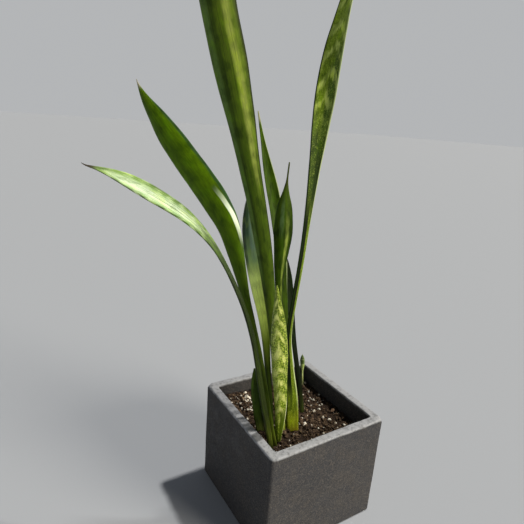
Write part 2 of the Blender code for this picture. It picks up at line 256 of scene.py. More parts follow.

# %% [markdown]
# A stripe is a band of another green that runs up part of the blade. Some are the leaf's
# own colour, and some are painted highlight or painted shade along a ridge or fold. Its edges
# are soft and wander a little, as growth isn't ruled with a line, and it may swerve to one
# side. Crisp marks, such as a painted highlight on a curled margin or painted shade in a
# fold, are the same band with a harder edge.

# %% A stripe up the leaf
STRIPE_WANDER, STRIPE_FADE, CRISP = 0.16, 0.08, 0.18


def lengthwise(on, tone, stripe, soft=0.5):
    """Lays a stripe on a tone: where it lies across, how wide, its colour and strength, where
    it starts and ends up the leaf, and how far it swerves sideways on the way."""
    finish = on.finish
    centre, half, colour, strength, start, end, *swerve = stripe
    drift = calc(finish, "MULTIPLY_ADD", on.wander, STRIPE_WANDER, on.across)
    if swerve:
        drift = calc(finish, "MULTIPLY_ADD", calc(finish, "SUBTRACT", on.share, end),
                     -swerve[0], drift)
    gap = calc(finish, "ABSOLUTE", calc(finish, "SUBTRACT", drift, centre))
    mask = between(finish, gap, half * (0.85 - soft), half * (0.85 + soft), 1.0, 0.0)
    mask = within(on, mask, start, start + STRIPE_FADE, end - STRIPE_FADE, end)
    return over(finish, calc(finish, "MULTIPLY", mask, strength), tone, colour)


print("stripe fades over", STRIPE_FADE, "of the leaf's length")

# %% [markdown]
# Ragged bars cross the blade, fifty or more to a metre, each bent up or down like a
# chevron. Drawn one by one they would need a long list. A sine wave up the leaf, whose phase
# climbs towards the margins and is shaken by noise, gives them all and never repeats.

# %% Cross bars
def barred(on, tone, colour, per_metre, rise, start, end, strength, jag=0.9,
           edge=(-0.25, 0.55), reach=1.2):
    """Lays cross bars on a tone, from start to end up the leaf. rise bends them to chevrons,
    jag tears them, edge is how hard they are, and reach is how far out they stay strong."""
    finish = on.finish
    torn = leaf_grain(on, 5.5, 40.0, 4.0, 1.7, 4.0, 0.65)
    slow = leaf_grain(on, 1.0, 22.0, 8.0)
    phase = calc(finish, "MULTIPLY", on.up, per_metre)
    phase = calc(finish, "MULTIPLY_ADD", on.out, rise, phase)
    phase = calc(finish, "MULTIPLY_ADD", torn, jag, phase)
    phase = calc(finish, "MULTIPLY_ADD", slow, 1.6, phase)
    wave = calc(finish, "SINE", calc(finish, "MULTIPLY", phase, 2 * math.pi))
    mask = within(on, between(finish, wave, *edge), start, start + 0.06, end - 0.06, end + 0.01)
    uneven = between(finish, leaf_grain(on, 2.2, 60.0, 2.0), 0.32, 0.62, 0.25, 1.0)
    mask = calc(finish, "MULTIPLY", mask, uneven)
    mask = calc(finish, "MULTIPLY", mask,
                between(finish, on.out, reach - 0.3, reach + 0.2, 1.0, 0.2))
    return over(finish, calc(finish, "MULTIPLY", mask, strength), tone, colour)


print("layer:", barred.__name__)

# %% [markdown]
# Mottle is finer than the bars, small flecks darker and paler than what they lie on. Clouds
# are broad and soft, and veins are long and thin. All three are noise with another stretch.
# Plain mixing would turn the greens grey, so the dark parts multiply the colour and the
# bright parts glaze it.

# %% Mottle, clouds and veins
def mottled(on, tone, dark, pale, strength):
    flecks = leaf_grain(on, 4.5, 420.0, 6.0, 1.7, 3.0, 0.7)
    tone = over(on.finish, between(on.finish, flecks, 0.50, 0.42, 0.0, strength), tone, dark)
    return over(on.finish, between(on.finish, flecks, 0.52, 0.62, 0.0, strength), tone, pale)


def clouded(on, tone, strength):
    cloud = leaf_grain(on, 1.5, 60.0, 3.0, 1.0, 3.0, 0.55)
    tone = over(on.finish, between(on.finish, cloud, 0.50, 0.34, 0.0, strength), tone,
                paint(126, 146, 90), "MULTIPLY")
    return over(on.finish, between(on.finish, cloud, 0.52, 0.68, 0.0, strength), tone,
                paint(214, 232, 120), "SOFT_LIGHT")


def veined(on, tone, vein, fine, strength):
    tone = over(on.finish, between(on.finish, vein, 0.50, 0.72, 0.0, strength), tone,
                paint(205, 220, 120), "SOFT_LIGHT")
    tone = over(on.finish, between(on.finish, vein, 0.50, 0.28, 0.0, strength * 1.6), tone,
                paint(14, 26, 4), "MULTIPLY")
    return over(on.finish, between(on.finish, fine, 0.42, 0.62, 0.22, 0.0), tone,
                paint(60, 84, 40), "MULTIPLY")


print("layers:", ", ".join(layer.__name__ for layer in (mottled, clouded, veined)))

# %% [markdown]
# Many leaves have a pale or dark line along a margin, and an old leaf dries at its tip. Some
# margin lines are the leaf's own colour, and some are a painted highlight or painted shade
# where a margin curls towards or away from the light. The line could be a strip of mesh, but
# it is only a change of colour in the skin, so it is laid by how far out a point lies. The
# tip's border follows the veins, as drying does.

# %% Margins and tip
MARGIN_FADE, TIP_FADE = 0.05, 0.02


def margin(on, tone, side, colour, width, start, end):
    finish = on.finish
    on_side = between(finish, calc(finish, "MULTIPLY", on.across, side), 0.0, 0.1)
    wandering = calc(finish, "MULTIPLY_ADD", on.wander, 0.05, on.out)
    mask = between(finish, wandering, 1 - 1.5 * width, 1 - 0.5 * width)
    mask = within(on, mask, start - MARGIN_FADE, start + MARGIN_FADE,
                  end - MARGIN_FADE, end + MARGIN_FADE)
    return over(finish, calc(finish, "MULTIPLY", mask, on_side), tone, colour)


def dry_tip(on, tone, vein, colour, start):
    ragged = calc(on.finish, "MULTIPLY_ADD", vein, 0.02, on.share)
    return over(on.finish, between(on.finish, ragged, start, start + TIP_FADE), tone, colour)


print("margins fade over", MARGIN_FADE, "of the length, tips over", TIP_FADE)

# %% [markdown]
# The layers are laid in this order: the ground colour from foot to tip, stripes, flecks,
# bars, clouds and veins, then patches, which are mostly painted highlight and painted shade,
# margins and the tip. The skin is waxy but not wet, so its gloss is low and patchy, and a
# trace of light passes through the blade. One function with many small settings serves all
# the leaves, since they differ in degree and not in kind.

# %% The whole leaf finish
def leaf_finish(name, length, body, stripes=(), bars=None, mottle=None, patches=(), veins=0.25,
                clouds=0.6, left_edge=None, right_edge=None, tip=None, gloss=0.42, shine=0.13,
                glow_through=0.06, seed=0.0):
    finish = new_finish(name)
    shader = finish.node_tree.nodes["Principled BSDF"]
    on = leaf_places(finish, length, seed)
    fine = leaf_grain(on, 9.0, 26.0, 0.0, 3.0, 3.0, 0.6)
    vein = leaf_grain(on, 26.0, 9.0, 1.0, 1.0, 3.0, 0.65)

    tone = ramp(finish, on.share, body)
    for stripe in stripes:
        tone = lengthwise(on, tone, stripe)
    if mottle:
        tone = mottled(on, tone, *mottle)
    if bars:
        tone = barred(on, tone, **bars)
    tone = veined(on, clouded(on, tone, clouds), vein, fine, veins)
    for patch in patches:
        tone = lengthwise(on, tone, patch, CRISP)
    for side, line in ((-1, left_edge), (1, right_edge)):
        if line:
            tone = margin(on, tone, side, *line)
    if tip:
        tone = dry_tip(on, tone, vein, *tip)
    finish.node_tree.links.new(tone, shader.inputs["Base Color"])

    dull = between(finish, fine, 0.3, 0.7, gloss - 0.05, gloss + 0.12)
    finish.node_tree.links.new(dull, shader.inputs["Roughness"])
    shader.inputs["Specular IOR Level"].default_value = shine
    if glow_through:
        shader.inputs["Subsurface Weight"].default_value = glow_through
        shader.inputs["Subsurface Radius"].default_value = (0.6, 1.0, 0.25)
        shader.inputs["Subsurface Scale"].default_value = 0.002
    return bumped(finish, shader, calc(finish, "MULTIPLY_ADD", fine, 0.6, vein), 0.00022, 0.8)


print("layers in order: ground, stripes, flecks, bars, clouds, veins, patches, margins, tip")

# %% [markdown]
# ## Picking things up
# Operators act on whatever is selected, and a freshly loaded model is selected all over. So
# the habit here is to drop everything, pick up one piece, do one thing to it in edit mode,
# and come straight back. Three short helpers keep to that habit.

# %% Picking things up
def deselect():
    bpy.ops.object.select_all(action="DESELECT")


def only(piece):
    deselect()
    piece.select_set(True)
    bpy.context.view_layer.objects.active = piece
    return piece


def in_edit(action):
    bpy.ops.object.mode_set(mode="EDIT")
    action()
    bpy.ops.object.mode_set(mode="OBJECT")


deselect()
print("selected now:", len(bpy.context.selected_objects))

# %% [markdown]
# ## Where each leaf goes
# A plain leaf in the frame is a stack of rings of ten points. A leaf could be drawn afresh
# from numbers, but then it might leave its place. Read from its foot up, ring by ring, the
# plain leaf itself says how the real blade leans, twists and hollows. The first step is a
# copy with its loose triangles joined, and a walk from the foot that counts the rings.

# %% Walk up the rings
RING = 10


def merged_copy(name):
    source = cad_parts[name]
    piece = source.copy()
    piece.data = source.data.copy()
    bpy.context.scene.collection.objects.link(piece)
    only(piece)

    def merge():
        bpy.ops.mesh.select_all(action="SELECT")
        bpy.ops.mesh.remove_doubles(threshold=1e-5)
    in_edit(merge)
    return piece


def ring_numbers(co, mesh):
    """How many edges above the foot's ring each point is."""
    near = {i: set() for i in range(len(co))}
    for edge in mesh.edges:
        a, b = edge.vertices
        near[a].add(b)
        near[b].add(a)
    number = {int(i): 0 for i in np.argsort(co[:, 2])[:RING]}
    front = list(number)
    while front:
        following = []
        for i in front:
            for j in near[i]:
                if j not in number:
                    number[j] = number[i] + 1
                    following.append(j)
        front = following
    return number


sample = merged_copy("leaf_tall_centre")
counted = ring_numbers(np.array([v.co[:] for v in sample.data.vertices]), sample.data)
print("tall centre leaf:", max(counted.values()) + 1, "rings,", len(counted), "points")

# %% [markdown]
# The points of a ring are then put in order round the leaf. Going by angle would fail where
# a blade is thin and hollow. A triangle between two rings always has one edge that lies in
# a ring, so those edges say which points are neighbours.

# %% Order the rings
def rings_of(mesh):
    """The rings of ten points, lowest first, each in order round the leaf."""
    co = np.array([v.co[:] for v in mesh.vertices])
    number = ring_numbers(co, mesh)
    beside = {i: set() for i in range(len(co))}
    for face in mesh.polygons:
        ids = list(face.vertices)
        for k in range(3):
            a, b, c = ids[k], ids[(k + 1) % 3], ids[(k + 2) % 3]
            if number[a] == number[b] != number[c]:
                beside[a].add(b)
                beside[b].add(a)
    rings = []
    for k in range(max(number.values()) + 1):
        members = [i for i in number if number[i] == k]
        order, last = [members[0]], None
        while len(order) < len(members):
            step = [j for j in beside[order[-1]] if j != last and j not in order]
            last = order[-1]
            order.append(step[0])
        rings.append(co[order])
    return rings


print("lowest ring:", rings_of(sample.data)[0].mean(axis=0).round(3), "is its middle")
bpy.data.objects.remove(sample)

# %% [markdown]
# A ring of ten can be read in twenty ways as five points across the blade. The right one has
# thin margins, a hollow on the upper side, and its left on the left. The widest ring is
# settled first, where those signs are clear, and every other ring is then matched to the
# one beside it, so that the reading never flips on a twisted leaf.

# %% Read a ring
def unit(v):
    return v / max(np.linalg.norm(v), 1e-9)


def readings_of(ring):
    """Each way to read a ring: five middle points, and the thickness through each."""
    found = []
    for turn in range(RING):
        for way in (1, -1):
            around = np.roll(ring[::way], turn, axis=0)
            under, upper = around[:5], around[5:][::-1]
            found.append(((under + upper) / 2, upper - under))
    return found


def margin_bulk(reading):
    """How thick the two margins are, next to the width."""
    middle, through = reading
    size = np.linalg.norm(middle[4] - middle[0])
    return (np.linalg.norm(through[0]) + np.linalg.norm(through[4])) / max(size, 1e-6)


def looks_right(reading):
    """A mark for a reading: thin margins, hollow side up, left margin on the left."""
    middle, through = reading
    hollow = (middle[0] + middle[4]) / 2 - middle[2]
    to_right = np.dot(unit(middle[4] - middle[0]), np.array(rightward))
    return ((unit(hollow) @ unit(through[2]) > 0) * 1.0 + (to_right > 0) * 2.0
            - margin_bulk(reading))


print("readings of a ring:", len(readings_of(np.zeros((RING, 3)))))

# %% [markdown]
# Five lines up the leaf come out of this, one rail for each point across, together with the
# thickness at every point. They are all that the finer leaf takes from the plain one.

# %% Rails
def rails_of(name):
    """Middle points (rings, 5, 3) from the left margin to the right, and the thickness there."""
    piece = merged_copy(name)
    choices = [readings_of(ring) for ring in rings_of(piece.data)]
    bpy.data.objects.remove(piece)
    widths = [max(np.linalg.norm(m[4] - m[0]) for m, _ in found) for found in choices]
    first = int(np.argmax(widths))
    chosen = [None] * len(choices)
    chosen[first] = max(choices[first], key=looks_right)
    for step in (1, -1):
        k = first + step
        while 0 <= k < len(choices):
            before = chosen[k - step]
            side, out = unit(before[0][4] - before[0][0]), unit(before[1][2])
            chosen[k] = max(choices[k], key=lambda item: unit(item[0][4] - item[0][0]) @ side
                            + unit(item[1][2]) @ out - 0.5 * margin_bulk(item))
            k += step
    middles = np.array([m for m, _ in chosen])
    thick = np.array([np.linalg.norm(t, axis=1) for _, t in chosen])
    return middles, thick


sample_rails, sample_thick = rails_of("leaf_tall_centre")
print("tall centre leaf's rails:", sample_rails.shape, "most thick:", round(sample_thick.max(), 4))

# %% [markdown]
# The rails are coarse, so the blade between them is drawn as a smooth curve: a cubic from
# ring to ring along the leaf, and one curve through all five rails across it. Straight lines
# would leave a crease at every ring.

# %% Curves between the rails
def smooth_between(values, places, at):
    """A smooth curve through values at places, read at the places in at."""
    slope = np.gradient(values, places, axis=0)
    k = np.clip(np.searchsorted(places, at) - 1, 0, len(places) - 2)
    span = places[k + 1] - places[k]
    t = (at - places[k]) / span
    shape = (-1,) + (1,) * (values.ndim - 1)
    t, span = t.reshape(shape), span.reshape(shape)
    return ((2 * t**3 - 3 * t**2 + 1) * values[k] + (t**3 - 2 * t**2 + t) * span * slope[k]
            + (3 * t**2 - 2 * t**3) * values[k + 1] + (t**3 - t**2) * span * slope[k + 1])


def weights_across(s):
    """How much each of the five rails counts at s, from -1 at the left margin to 1."""
    nodes = np.array([-1, -0.5, 0, 0.5, 1])
    return np.stack([np.prod([(s - m) / (n - m) for m in nodes if m != n], axis=0)
                     for n in nodes], axis=-1)


print("weights of the rails in the middle:", weights_across(np.array([0.0])).round(3)[0])

# %% [markdown]
# ## The leaf's blank
# All leaves start as the same flat strip. It could be built point by point, but a grid is
# made in one step, is fine enough to bend smoothly, and comes already unwrapped. Each leaf
# is a copy of it, laid on its own rails.

# %% The blank
STRIP_ACROSS, STRIP_ALONG = 14, 100
deselect()
bpy.ops.mesh.primitive_grid_add(x_subdivisions=STRIP_ACROSS, y_subdivisions=STRIP_ALONG, size=1)
blank = bpy.context.object
blank.name = "leaf_blank"
print("blank:", len(blank.data.polygons), "faces")

# %% [markdown]
# A leaf's dried tip ends in a thread that is thinner than the plain leaf's end. It could be a
# separate piece, but a joint would show. A few more, smaller rings at the end of the rails
# let the same strip run on into it, bending a little upwards.

# %% A dry tail
TAIL_STEPS = 4


def with_tail(middles, thick, long, curl):
    """The rails with a tail of some length at the end, and how much it curls up."""
    way = middles[-1].mean(axis=0) - middles[-2].mean(axis=0)
    way /= np.linalg.norm(way)
    half = middles[-1] - middles[-1].mean(axis=0)
    for k in range(1, TAIL_STEPS + 1):
        end = middles[-1].mean(axis=0) + long / TAIL_STEPS * way
        way = way + curl * np.array((0, 0, 1.0)) / TAIL_STEPS
        way /= np.linalg.norm(way)
        middles = np.concatenate([middles, [end + half * (1 - 0.18 * k)]])
        thick = np.concatenate([thick, [thick[-1] * 0.86]])
    return middles, thick


longer, _ = with_tail(sample_rails, sample_thick, 0.004, 1.0)
print("rings with a tail:", len(longer), "instead of", len(sample_rails))

# %% [markdown]
# Laid on its rails, a strip is too perfect. A real blade ripples, most at its margins, its
# surface is faintly uneven, and its outline wavers. Pushing points about by hand would take
# long for eleven leaves. Two noises lift the points along the blade's own normal, and a
# third stretches each row a little.

# %% Lay the strip
RIPPLES, BUMPS, WAVERS, BUMP_HEIGHT, FULL_RIPPLE_WIDTH = 26, 90, 34, 0.00016, 0.018


def laid_strip(middles, places, s, share, ripple, seed, waver, plump):
    """The strip's points on the rails, how far each row swells, and the blade's width."""
    length = places[-1]

    def on_rails(s, share):
        rails = smooth_between(middles, places, share * length)
        return np.einsum("nk,nkc->nc", weights_across(s), rails)

    co = on_rails(s, share)
    along = on_rails(s, np.clip(share + 0.002, 0, 1)) - on_rails(s, np.clip(share - 0.002, 0, 1))
    aside = on_rails(s + 0.02, share) - on_rails(s - 0.02, share)
    normal = np.cross(aside, along)
    normal /= np.maximum(np.linalg.norm(normal, axis=1, keepdims=True), 1e-12)
    width = np.linalg.norm(smooth_between(middles[:, 4] - middles[:, 0], places,
                                          share * length), axis=1)
    lift, swell = np.zeros(len(co)), np.ones(len(co))
    for i, (side, part) in enumerate(zip(s, share)):
        run = part * length
        wave = noise.noise(Vector((side * 0.6 + seed, run * RIPPLES, seed * 3.1)))
        small = noise.noise(Vector((side * 2.2, run * BUMPS, seed + 11.0)))
        room = min(1.0, width[i] / FULL_RIPPLE_WIDTH) * min(1.0, (1 - part) * 12)
        lift[i] = room * (ripple * 1.6 * wave * abs(side) ** 2.5 + BUMP_HEIGHT * small)
        swell[i] += waver * noise.noise(Vector((run * WAVERS, 2.0 * np.sign(side), seed)))
    if plump:
        swell *= np.interp(share, *zip(*plump))
    co += normal * lift[:, None]
    centre = on_rails(0 * s, share)
    return centre + (co - centre) * swell[:, None], swell, width


print("waves in a metre of leaf: ripple", RIPPLES, "waver", WAVERS, "bumps", BUMPS)

# %% [markdown]
# The bent strip is still a sheet. Two sheets with a gap could be bridged at their borders,
# but Solidify does the same in one step, and a vertex group tells it how thick the blade is
# at each point. Subdivision then rounds the thin margins, and the normals are set outwards.

# %% Thicken the strip
THINNEST = 0.0003


def thicken(leaf, body):
    """Turns a bent sheet into a blade that is body thick, a value for each point."""
    most = float(body.max())
    group = leaf.vertex_groups.new(name="body")
    for i, value in enumerate(body):
        group.add([i], float(value / most), "REPLACE")
    wall = leaf.modifiers.new("wall", "SOLIDIFY")
    wall.thickness, wall.offset, wall.use_even_offset = most, 0.0, False
    wall.vertex_group, wall.thickness_vertex_group = "body", 0.0
    soft = leaf.modifiers.new("soft", "SUBSURF")
    soft.levels = soft.render_levels = 1
    only(leaf)
    for modifier in ("wall", "soft"):
        bpy.ops.object.modifier_apply(modifier=modifier)

    def outward():
        bpy.ops.mesh.select_all(action="SELECT")
        bpy.ops.mesh.normals_make_consistent(inside=False)
    in_edit(outward)
    bpy.ops.object.shade_smooth()
    return most


print("margins are never thinner than", THINNEST, "m")

# %% [markdown]
# A finished leaf is rails, a strip laid on them, and a thickness. These could be run by hand
# for each leaf. One function takes a leaf from its name to its blade instead, so that every
# leaf is made in the same way and only its settings differ.

# %% One whole leaf
def laid_leaf(name, ripple=0.0005, seed=0, tail=None, waver=0.03, plump=None):
    middles, thick = rails_of(name)
    if tail:
        middles, thick = with_tail(middles, thick, *tail)
    runs = np.linalg.norm(np.diff(middles[:, 2], axis=0), axis=1)
    places = np.concatenate([[0], np.cumsum(runs)])
    length = places[-1]
    leaf = blank.copy()
    leaf.data = blank.data.copy()
    leaf.name = leaf.data.name = name + "_blade"
    bpy.context.scene.collection.objects.link(leaf)
    flat = np.array([v.co[:2] for v in leaf.data.vertices])
    s, share = flat[:, 0] * 2, np.clip(flat[:, 1] + 0.5, 0, 1)
    co, swell, width = laid_strip(middles, places, s, share, ripple, seed, waver, plump)
    leaf.data.vertices.foreach_set("co", co.ravel())
    body = np.einsum("nk,nk->n", weights_across(s),
                     smooth_between(thick, places, share * length))
    most = thicken(leaf, np.clip(body * (swell if plump else 1), THINNEST, None))
    print(f"{name}: {length:.3f} m long, {width.max() * 1000:.0f} mm wide, "
          f"{most * 1000:.1f} mm thick")
    return leaf, length


print("leaf maker ready for", len(blank.data.vertices), "points a leaf")

# %% [markdown]
# ## The leaves' own colours
# Each leaf has its own story. A recipe gives its shape's small faults, its ground colour from
# foot to tip, and what lies on it. The recipes could be nodes copied and changed by hand,
# but as plain lists they can be compared, and a leaf can be retouched without the others.
# The two tall leaves come first: one has a painted highlight stripe near its ridge, a paler
# right half of painted light and a dark right margin of painted shade, and the other has
# painted shade down the left half of its lower part and on its right side, and chevron bars
# above.

# %% Recipes: the tall leaves
LEAF_LOOKS = {
    "leaf_tall_centre": dict(
        ripple=0.0006, seed=1, waver=0.04, body=(
            (0.0, paint(140, 150, 60)), (0.12, paint(104, 122, 36)), (0.3, paint(66, 86, 14)),
            (0.5, paint(70, 92, 16)), (0.75, paint(90, 110, 26)), (1.0, paint(98, 116, 38))),
        stripes=((-0.78, 0.36, paint(92, 120, 56), 0.85, 0.3, 1.05),
                 (-0.36, 0.17, paint(56, 76, 12), 0.8, 0.3, 1.02),
                 # painted light: the paler band on the right half; painted highlight: the bright
                 # stripe near the ridge
                 (0.72, 0.42, paint(108, 130, 38), 0.85, 0.48, 1.03),
                 (0.26, 0.20, paint(158, 172, 80), 0.8, 0.45, 1.03, -0.55)),
        left_edge=(paint(96, 112, 60), 0.08, 0.1, 1.0),
        # painted shade: the dark right margin, where the blade curves away from the light
        right_edge=(paint(34, 44, 6), 0.10, 0.2, 1.0),
        bars=dict(colour=paint(54, 74, 8), per_metre=60, rise=0.5, jag=1.4, start=0.2,
                  end=1.0, strength=0.28, edge=(-0.9, 0.9)), veins=0.4, clouds=0.5, shine=0.09,
        tip=(paint(150, 140, 90), 0.985)),
    "leaf_tall_right": dict(
        ripple=0.0005, seed=2, waver=0.03, body=(
            (0.0, paint(190, 160, 50)), (0.035, paint(132, 138, 24)), (0.08, paint(92, 108, 12)),
            (0.2, paint(90, 108, 16)), (0.44, paint(98, 118, 28)), (0.5, paint(46, 66, 22)),
            (0.575, paint(46, 66, 22)), (0.63, paint(110, 134, 32)), (0.72, paint(126, 150, 40)),
            (0.8, paint(146, 170, 60)), (1.0, paint(144, 166, 62))),
        # painted shade: the grey-green band up the blade
        stripes=((0.50, 0.42, paint(60, 84, 46), 0.8, 0.56, 0.76),),
        left_edge=(paint(24, 42, 4), 0.10, 0.1, 1.0),
        right_edge=(paint(170, 184, 130), 0.09, 0.1, 0.98),
        bars=dict(colour=paint(214, 232, 122), per_metre=46, rise=0.8, jag=0.6, start=0.60,
                  end=1.0, strength=0.8, edge=(-0.1, 0.9)),
        mottle=(paint(94, 118, 24), paint(180, 202, 84), 0.4),
        # painted shade: the near-black left half of the foot, in its fold, and the dark patch on
        # the right side where the twisted blade turns from the light
        patches=((-0.45, 0.60, paint(8, 18, 0), 1.0, 0.06, 0.52),
                 (0.55, 0.5, paint(30, 46, 12), 0.85, 0.42, 0.60)), veins=0.4, shine=0.09,
        tip=(paint(150, 140, 90), 0.985)),
}
print("recipes:", ", ".join(LEAF_LOOKS))

# %% [markdown]
# The two leaves that lean to the left: the broad one is a strong even green with one
# painted white highlight and painted bluish shade and reflection along its right margin, and
# the arching one is dark below and washed pale where it turns over, with a painted highlight
# down its middle and painted shade along its lower margin.

# %% Recipes: the left leaves
LEAF_LOOKS |= {
    "leaf_left_broad": dict(
        ripple=0.0011, seed=3, waver=0.06, tail=(0.004, 1.2), body=(
            (0.0, paint(96, 106, 38)), (0.1, paint(54, 68, 8)), (0.3, paint(48, 64, 6)),
            (0.5, paint(72, 98, 6)), (0.7, paint(88, 120, 4)), (0.9, paint(80, 112, 4)),
            (1.0, paint(80, 106, 10))),
        # painted shade and painted reflection: the bluish dark right margin, turned away from the
        # light
        stripes=((0.92, 0.12, paint(44, 72, 48), 0.9, 0.5, 0.98),),
        bars=dict(colour=paint(56, 84, 2), per_metre=50, rise=0.6, jag=1.4, start=0.45,
                  end=0.97, strength=0.45, edge=(-0.9, 0.9)), veins=0.3, clouds=0.45,
        # painted highlight: the white wedge on the curled right margin
        patches=((0.54, 0.16, paint(240, 255, 226), 1.0, 0.53, 0.69, -2.6),),
        left_edge=(paint(120, 146, 66), 0.05, 0.4, 0.95),
        tip=(paint(150, 146, 124), 0.98), gloss=0.4, shine=0.08),
    "leaf_left_arching": dict(
        ripple=0.0004, seed=4, waver=0.05, tail=(0.004, 0.9), gloss=0.36, shine=0.16, body=(
            (0.0, paint(84, 92, 36)), (0.15, paint(36, 46, 2)), (0.5, paint(38, 54, 4)),
            (0.62, paint(58, 80, 32)), (0.69, paint(104, 130, 74)), (0.77, paint(148, 184, 128)),
            (0.9, paint(142, 178, 112)), (0.96, paint(112, 140, 80)), (1.0, paint(80, 90, 50))),
        # painted shade: the dark lower margin, curled up away from the light
        stripes=((-0.92, 0.14, paint(44, 66, 16), 0.95, 0.6, 1.0),
                 (0.85, 0.25, paint(128, 158, 84), 0.7, 0.6, 1.0),
                 # painted highlight: the white band down the middle
                 (0.02, 0.55, paint(226, 242, 220), 0.6, 0.68, 0.97)),
        bars=dict(colour=paint(214, 234, 192), per_metre=75, rise=0.2, jag=1.6, start=0.66,
                  end=0.97, strength=0.5, edge=(-0.6, 0.9)),
        veins=0.9, tip=(paint(50, 44, 28), 0.972)),
}
print("recipes so far:", len(LEAF_LOOKS))

# %% [markdown]
# Behind the tall centre leaf stand a narrow leaf and a pointed one. They are mostly in its
# shade, so both are deep green, with darker bars in place of pale ones. The pointed one has
# a painted highlight stripe near its ridge and a painted bluish sheen near its top.

# %% Recipes: the leaves behind
LEAF_LOOKS |= {
    "leaf_back_narrow": dict(
        ripple=0.0004, seed=5, body=(
            (0.0, paint(80, 90, 36)), (0.2, paint(52, 68, 10)), (0.5, paint(54, 76, 6)),
            (0.8, paint(58, 84, 2)), (1.0, paint(70, 94, 10))),
        bars=dict(colour=paint(36, 58, 2), per_metre=55, rise=0.8, jag=1.4, start=0.45,
                  end=0.95, strength=0.5, edge=(-0.7, 0.9)), clouds=0.6, shine=0.06,
        right_edge=(paint(150, 164, 116), 0.10, 0.5, 1.0), tip=(paint(150, 152, 120), 0.97)),
    "leaf_middle_pointed": dict(
        ripple=0.0004, seed=6, waver=0.05, body=(
            (0.0, paint(130, 142, 56)), (0.25, paint(78, 98, 18)), (0.5, paint(56, 76, 8)),
            (0.75, paint(58, 84, 4)), (0.9, paint(72, 96, 16)), (1.0, paint(70, 80, 30))),
        # painted highlight: the pale stripe right of the middle, on the ridge
        stripes=((0.34, 0.18, paint(150, 168, 76), 0.9, 0.5, 0.86, -0.5),
                 # painted sheen: the bluish band near the top
                 (-0.2, 0.24, paint(96, 124, 84), 0.55, 0.74, 0.92)),
        bars=dict(colour=paint(36, 58, 4), per_metre=60, rise=0.7, jag=1.4, start=0.5,
                  end=0.92, strength=0.45, edge=(-0.7, 0.9)), veins=0.4, clouds=0.6, shine=0.09,
        tip=(paint(66, 76, 32), 0.925)),
}
print("recipes so far:", len(LEAF_LOOKS))

# %% [markdown]
# The upright leaf at the left catches a patch of sun, which is painted as part of its skin
# and not lit by a lamp of its own, so that it stays where it is from every side. Its right
# margin carries a painted white highlight, and its top a painted bluish sheen. The short leaf
# in front is the most mottled, with pale torn bars, a painted lit band left of its middle and
# painted shade down its right side.

# %% Recipes: the sunlit leaf and the mottled leaf
LEAF_LOOKS |= {
    "leaf_left_upright": dict(
        ripple=0.0005, seed=7, waver=0.03, body=(
            (0.0, paint(60, 70, 26)), (0.15, paint(26, 40, 4)), (0.32, paint(48, 64, 6)),
            # painted light: from 0.42 to 0.73 the ground colour is the painted patch of sun, and
            # the bluish green above it is painted sheen
            (0.42, paint(130, 150, 40)), (0.52, paint(232, 255, 118)),
            (0.67, paint(232, 255, 140)), (0.73, paint(150, 182, 110)), (0.82, paint(70, 98, 70)),
            (1.0, paint(60, 86, 36))),
        # painted sheen: the pale bluish stripe near the top
        stripes=((0.2, 0.30, paint(130, 160, 136), 0.8, 0.70, 0.95),
                 (-0.80, 0.34, paint(34, 54, 36), 0.9, 0.66, 0.98)),
        bars=dict(colour=paint(140, 166, 72), per_metre=60, rise=0.5, jag=1.6, start=0.45,
                  end=0.95, strength=0.3, edge=(-0.2, 0.9)),
        # painted highlight: the white right margin, which catches the light
        right_edge=(paint(255, 255, 230), 0.11, 0.3, 0.66),
        left_edge=(paint(50, 70, 26), 0.09, 0.3, 0.95), veins=0.3, clouds=0.1),
    "leaf_front_mottled": dict(
        ripple=0.0004, seed=8, waver=0.04, body=(
            (0.0, paint(190, 184, 90)), (0.08, paint(104, 130, 18)), (0.2, paint(120, 146, 24)),
            (0.3, paint(126, 150, 28)), (0.5, paint(118, 142, 24)), (0.75, paint(106, 132, 20)),
            (1.0, paint(100, 120, 26))),
        # painted light: the pale band left of the middle
        stripes=((-0.2, 0.36, paint(172, 194, 66), 0.8, 0.14, 0.85),
                 (-0.92, 0.16, paint(80, 104, 14), 0.8, 0.1, 1.0),
                 # painted shade: the dark band down the right side
                 (0.78, 0.40, paint(84, 108, 10), 0.95, 0.15, 1.0)),
        bars=dict(colour=paint(244, 250, 146), per_metre=50, rise=0.6, jag=0.9, start=0.16,
                  end=0.97, strength=0.9, edge=(0.0, 0.8), reach=0.62),
        mottle=(paint(72, 94, 0), paint(226, 242, 110), 0.85),
        patches=((0.48, 0.44, paint(56, 74, 4), 0.9, 0.02, 0.30),),
        right_edge=(paint(240, 244, 196), 0.10, -0.1, 0.30), veins=0.15, gloss=0.34,
        clouds=0.1, shine=0.22),
}
print("recipes so far:", len(LEAF_LOOKS))

# %% [markdown]
# Last come the dark leaf at the back, the short dark leaf at the left, and the young shoot,
# still rolled up, which is cream at its foot, green at its tip and swollen near the end.

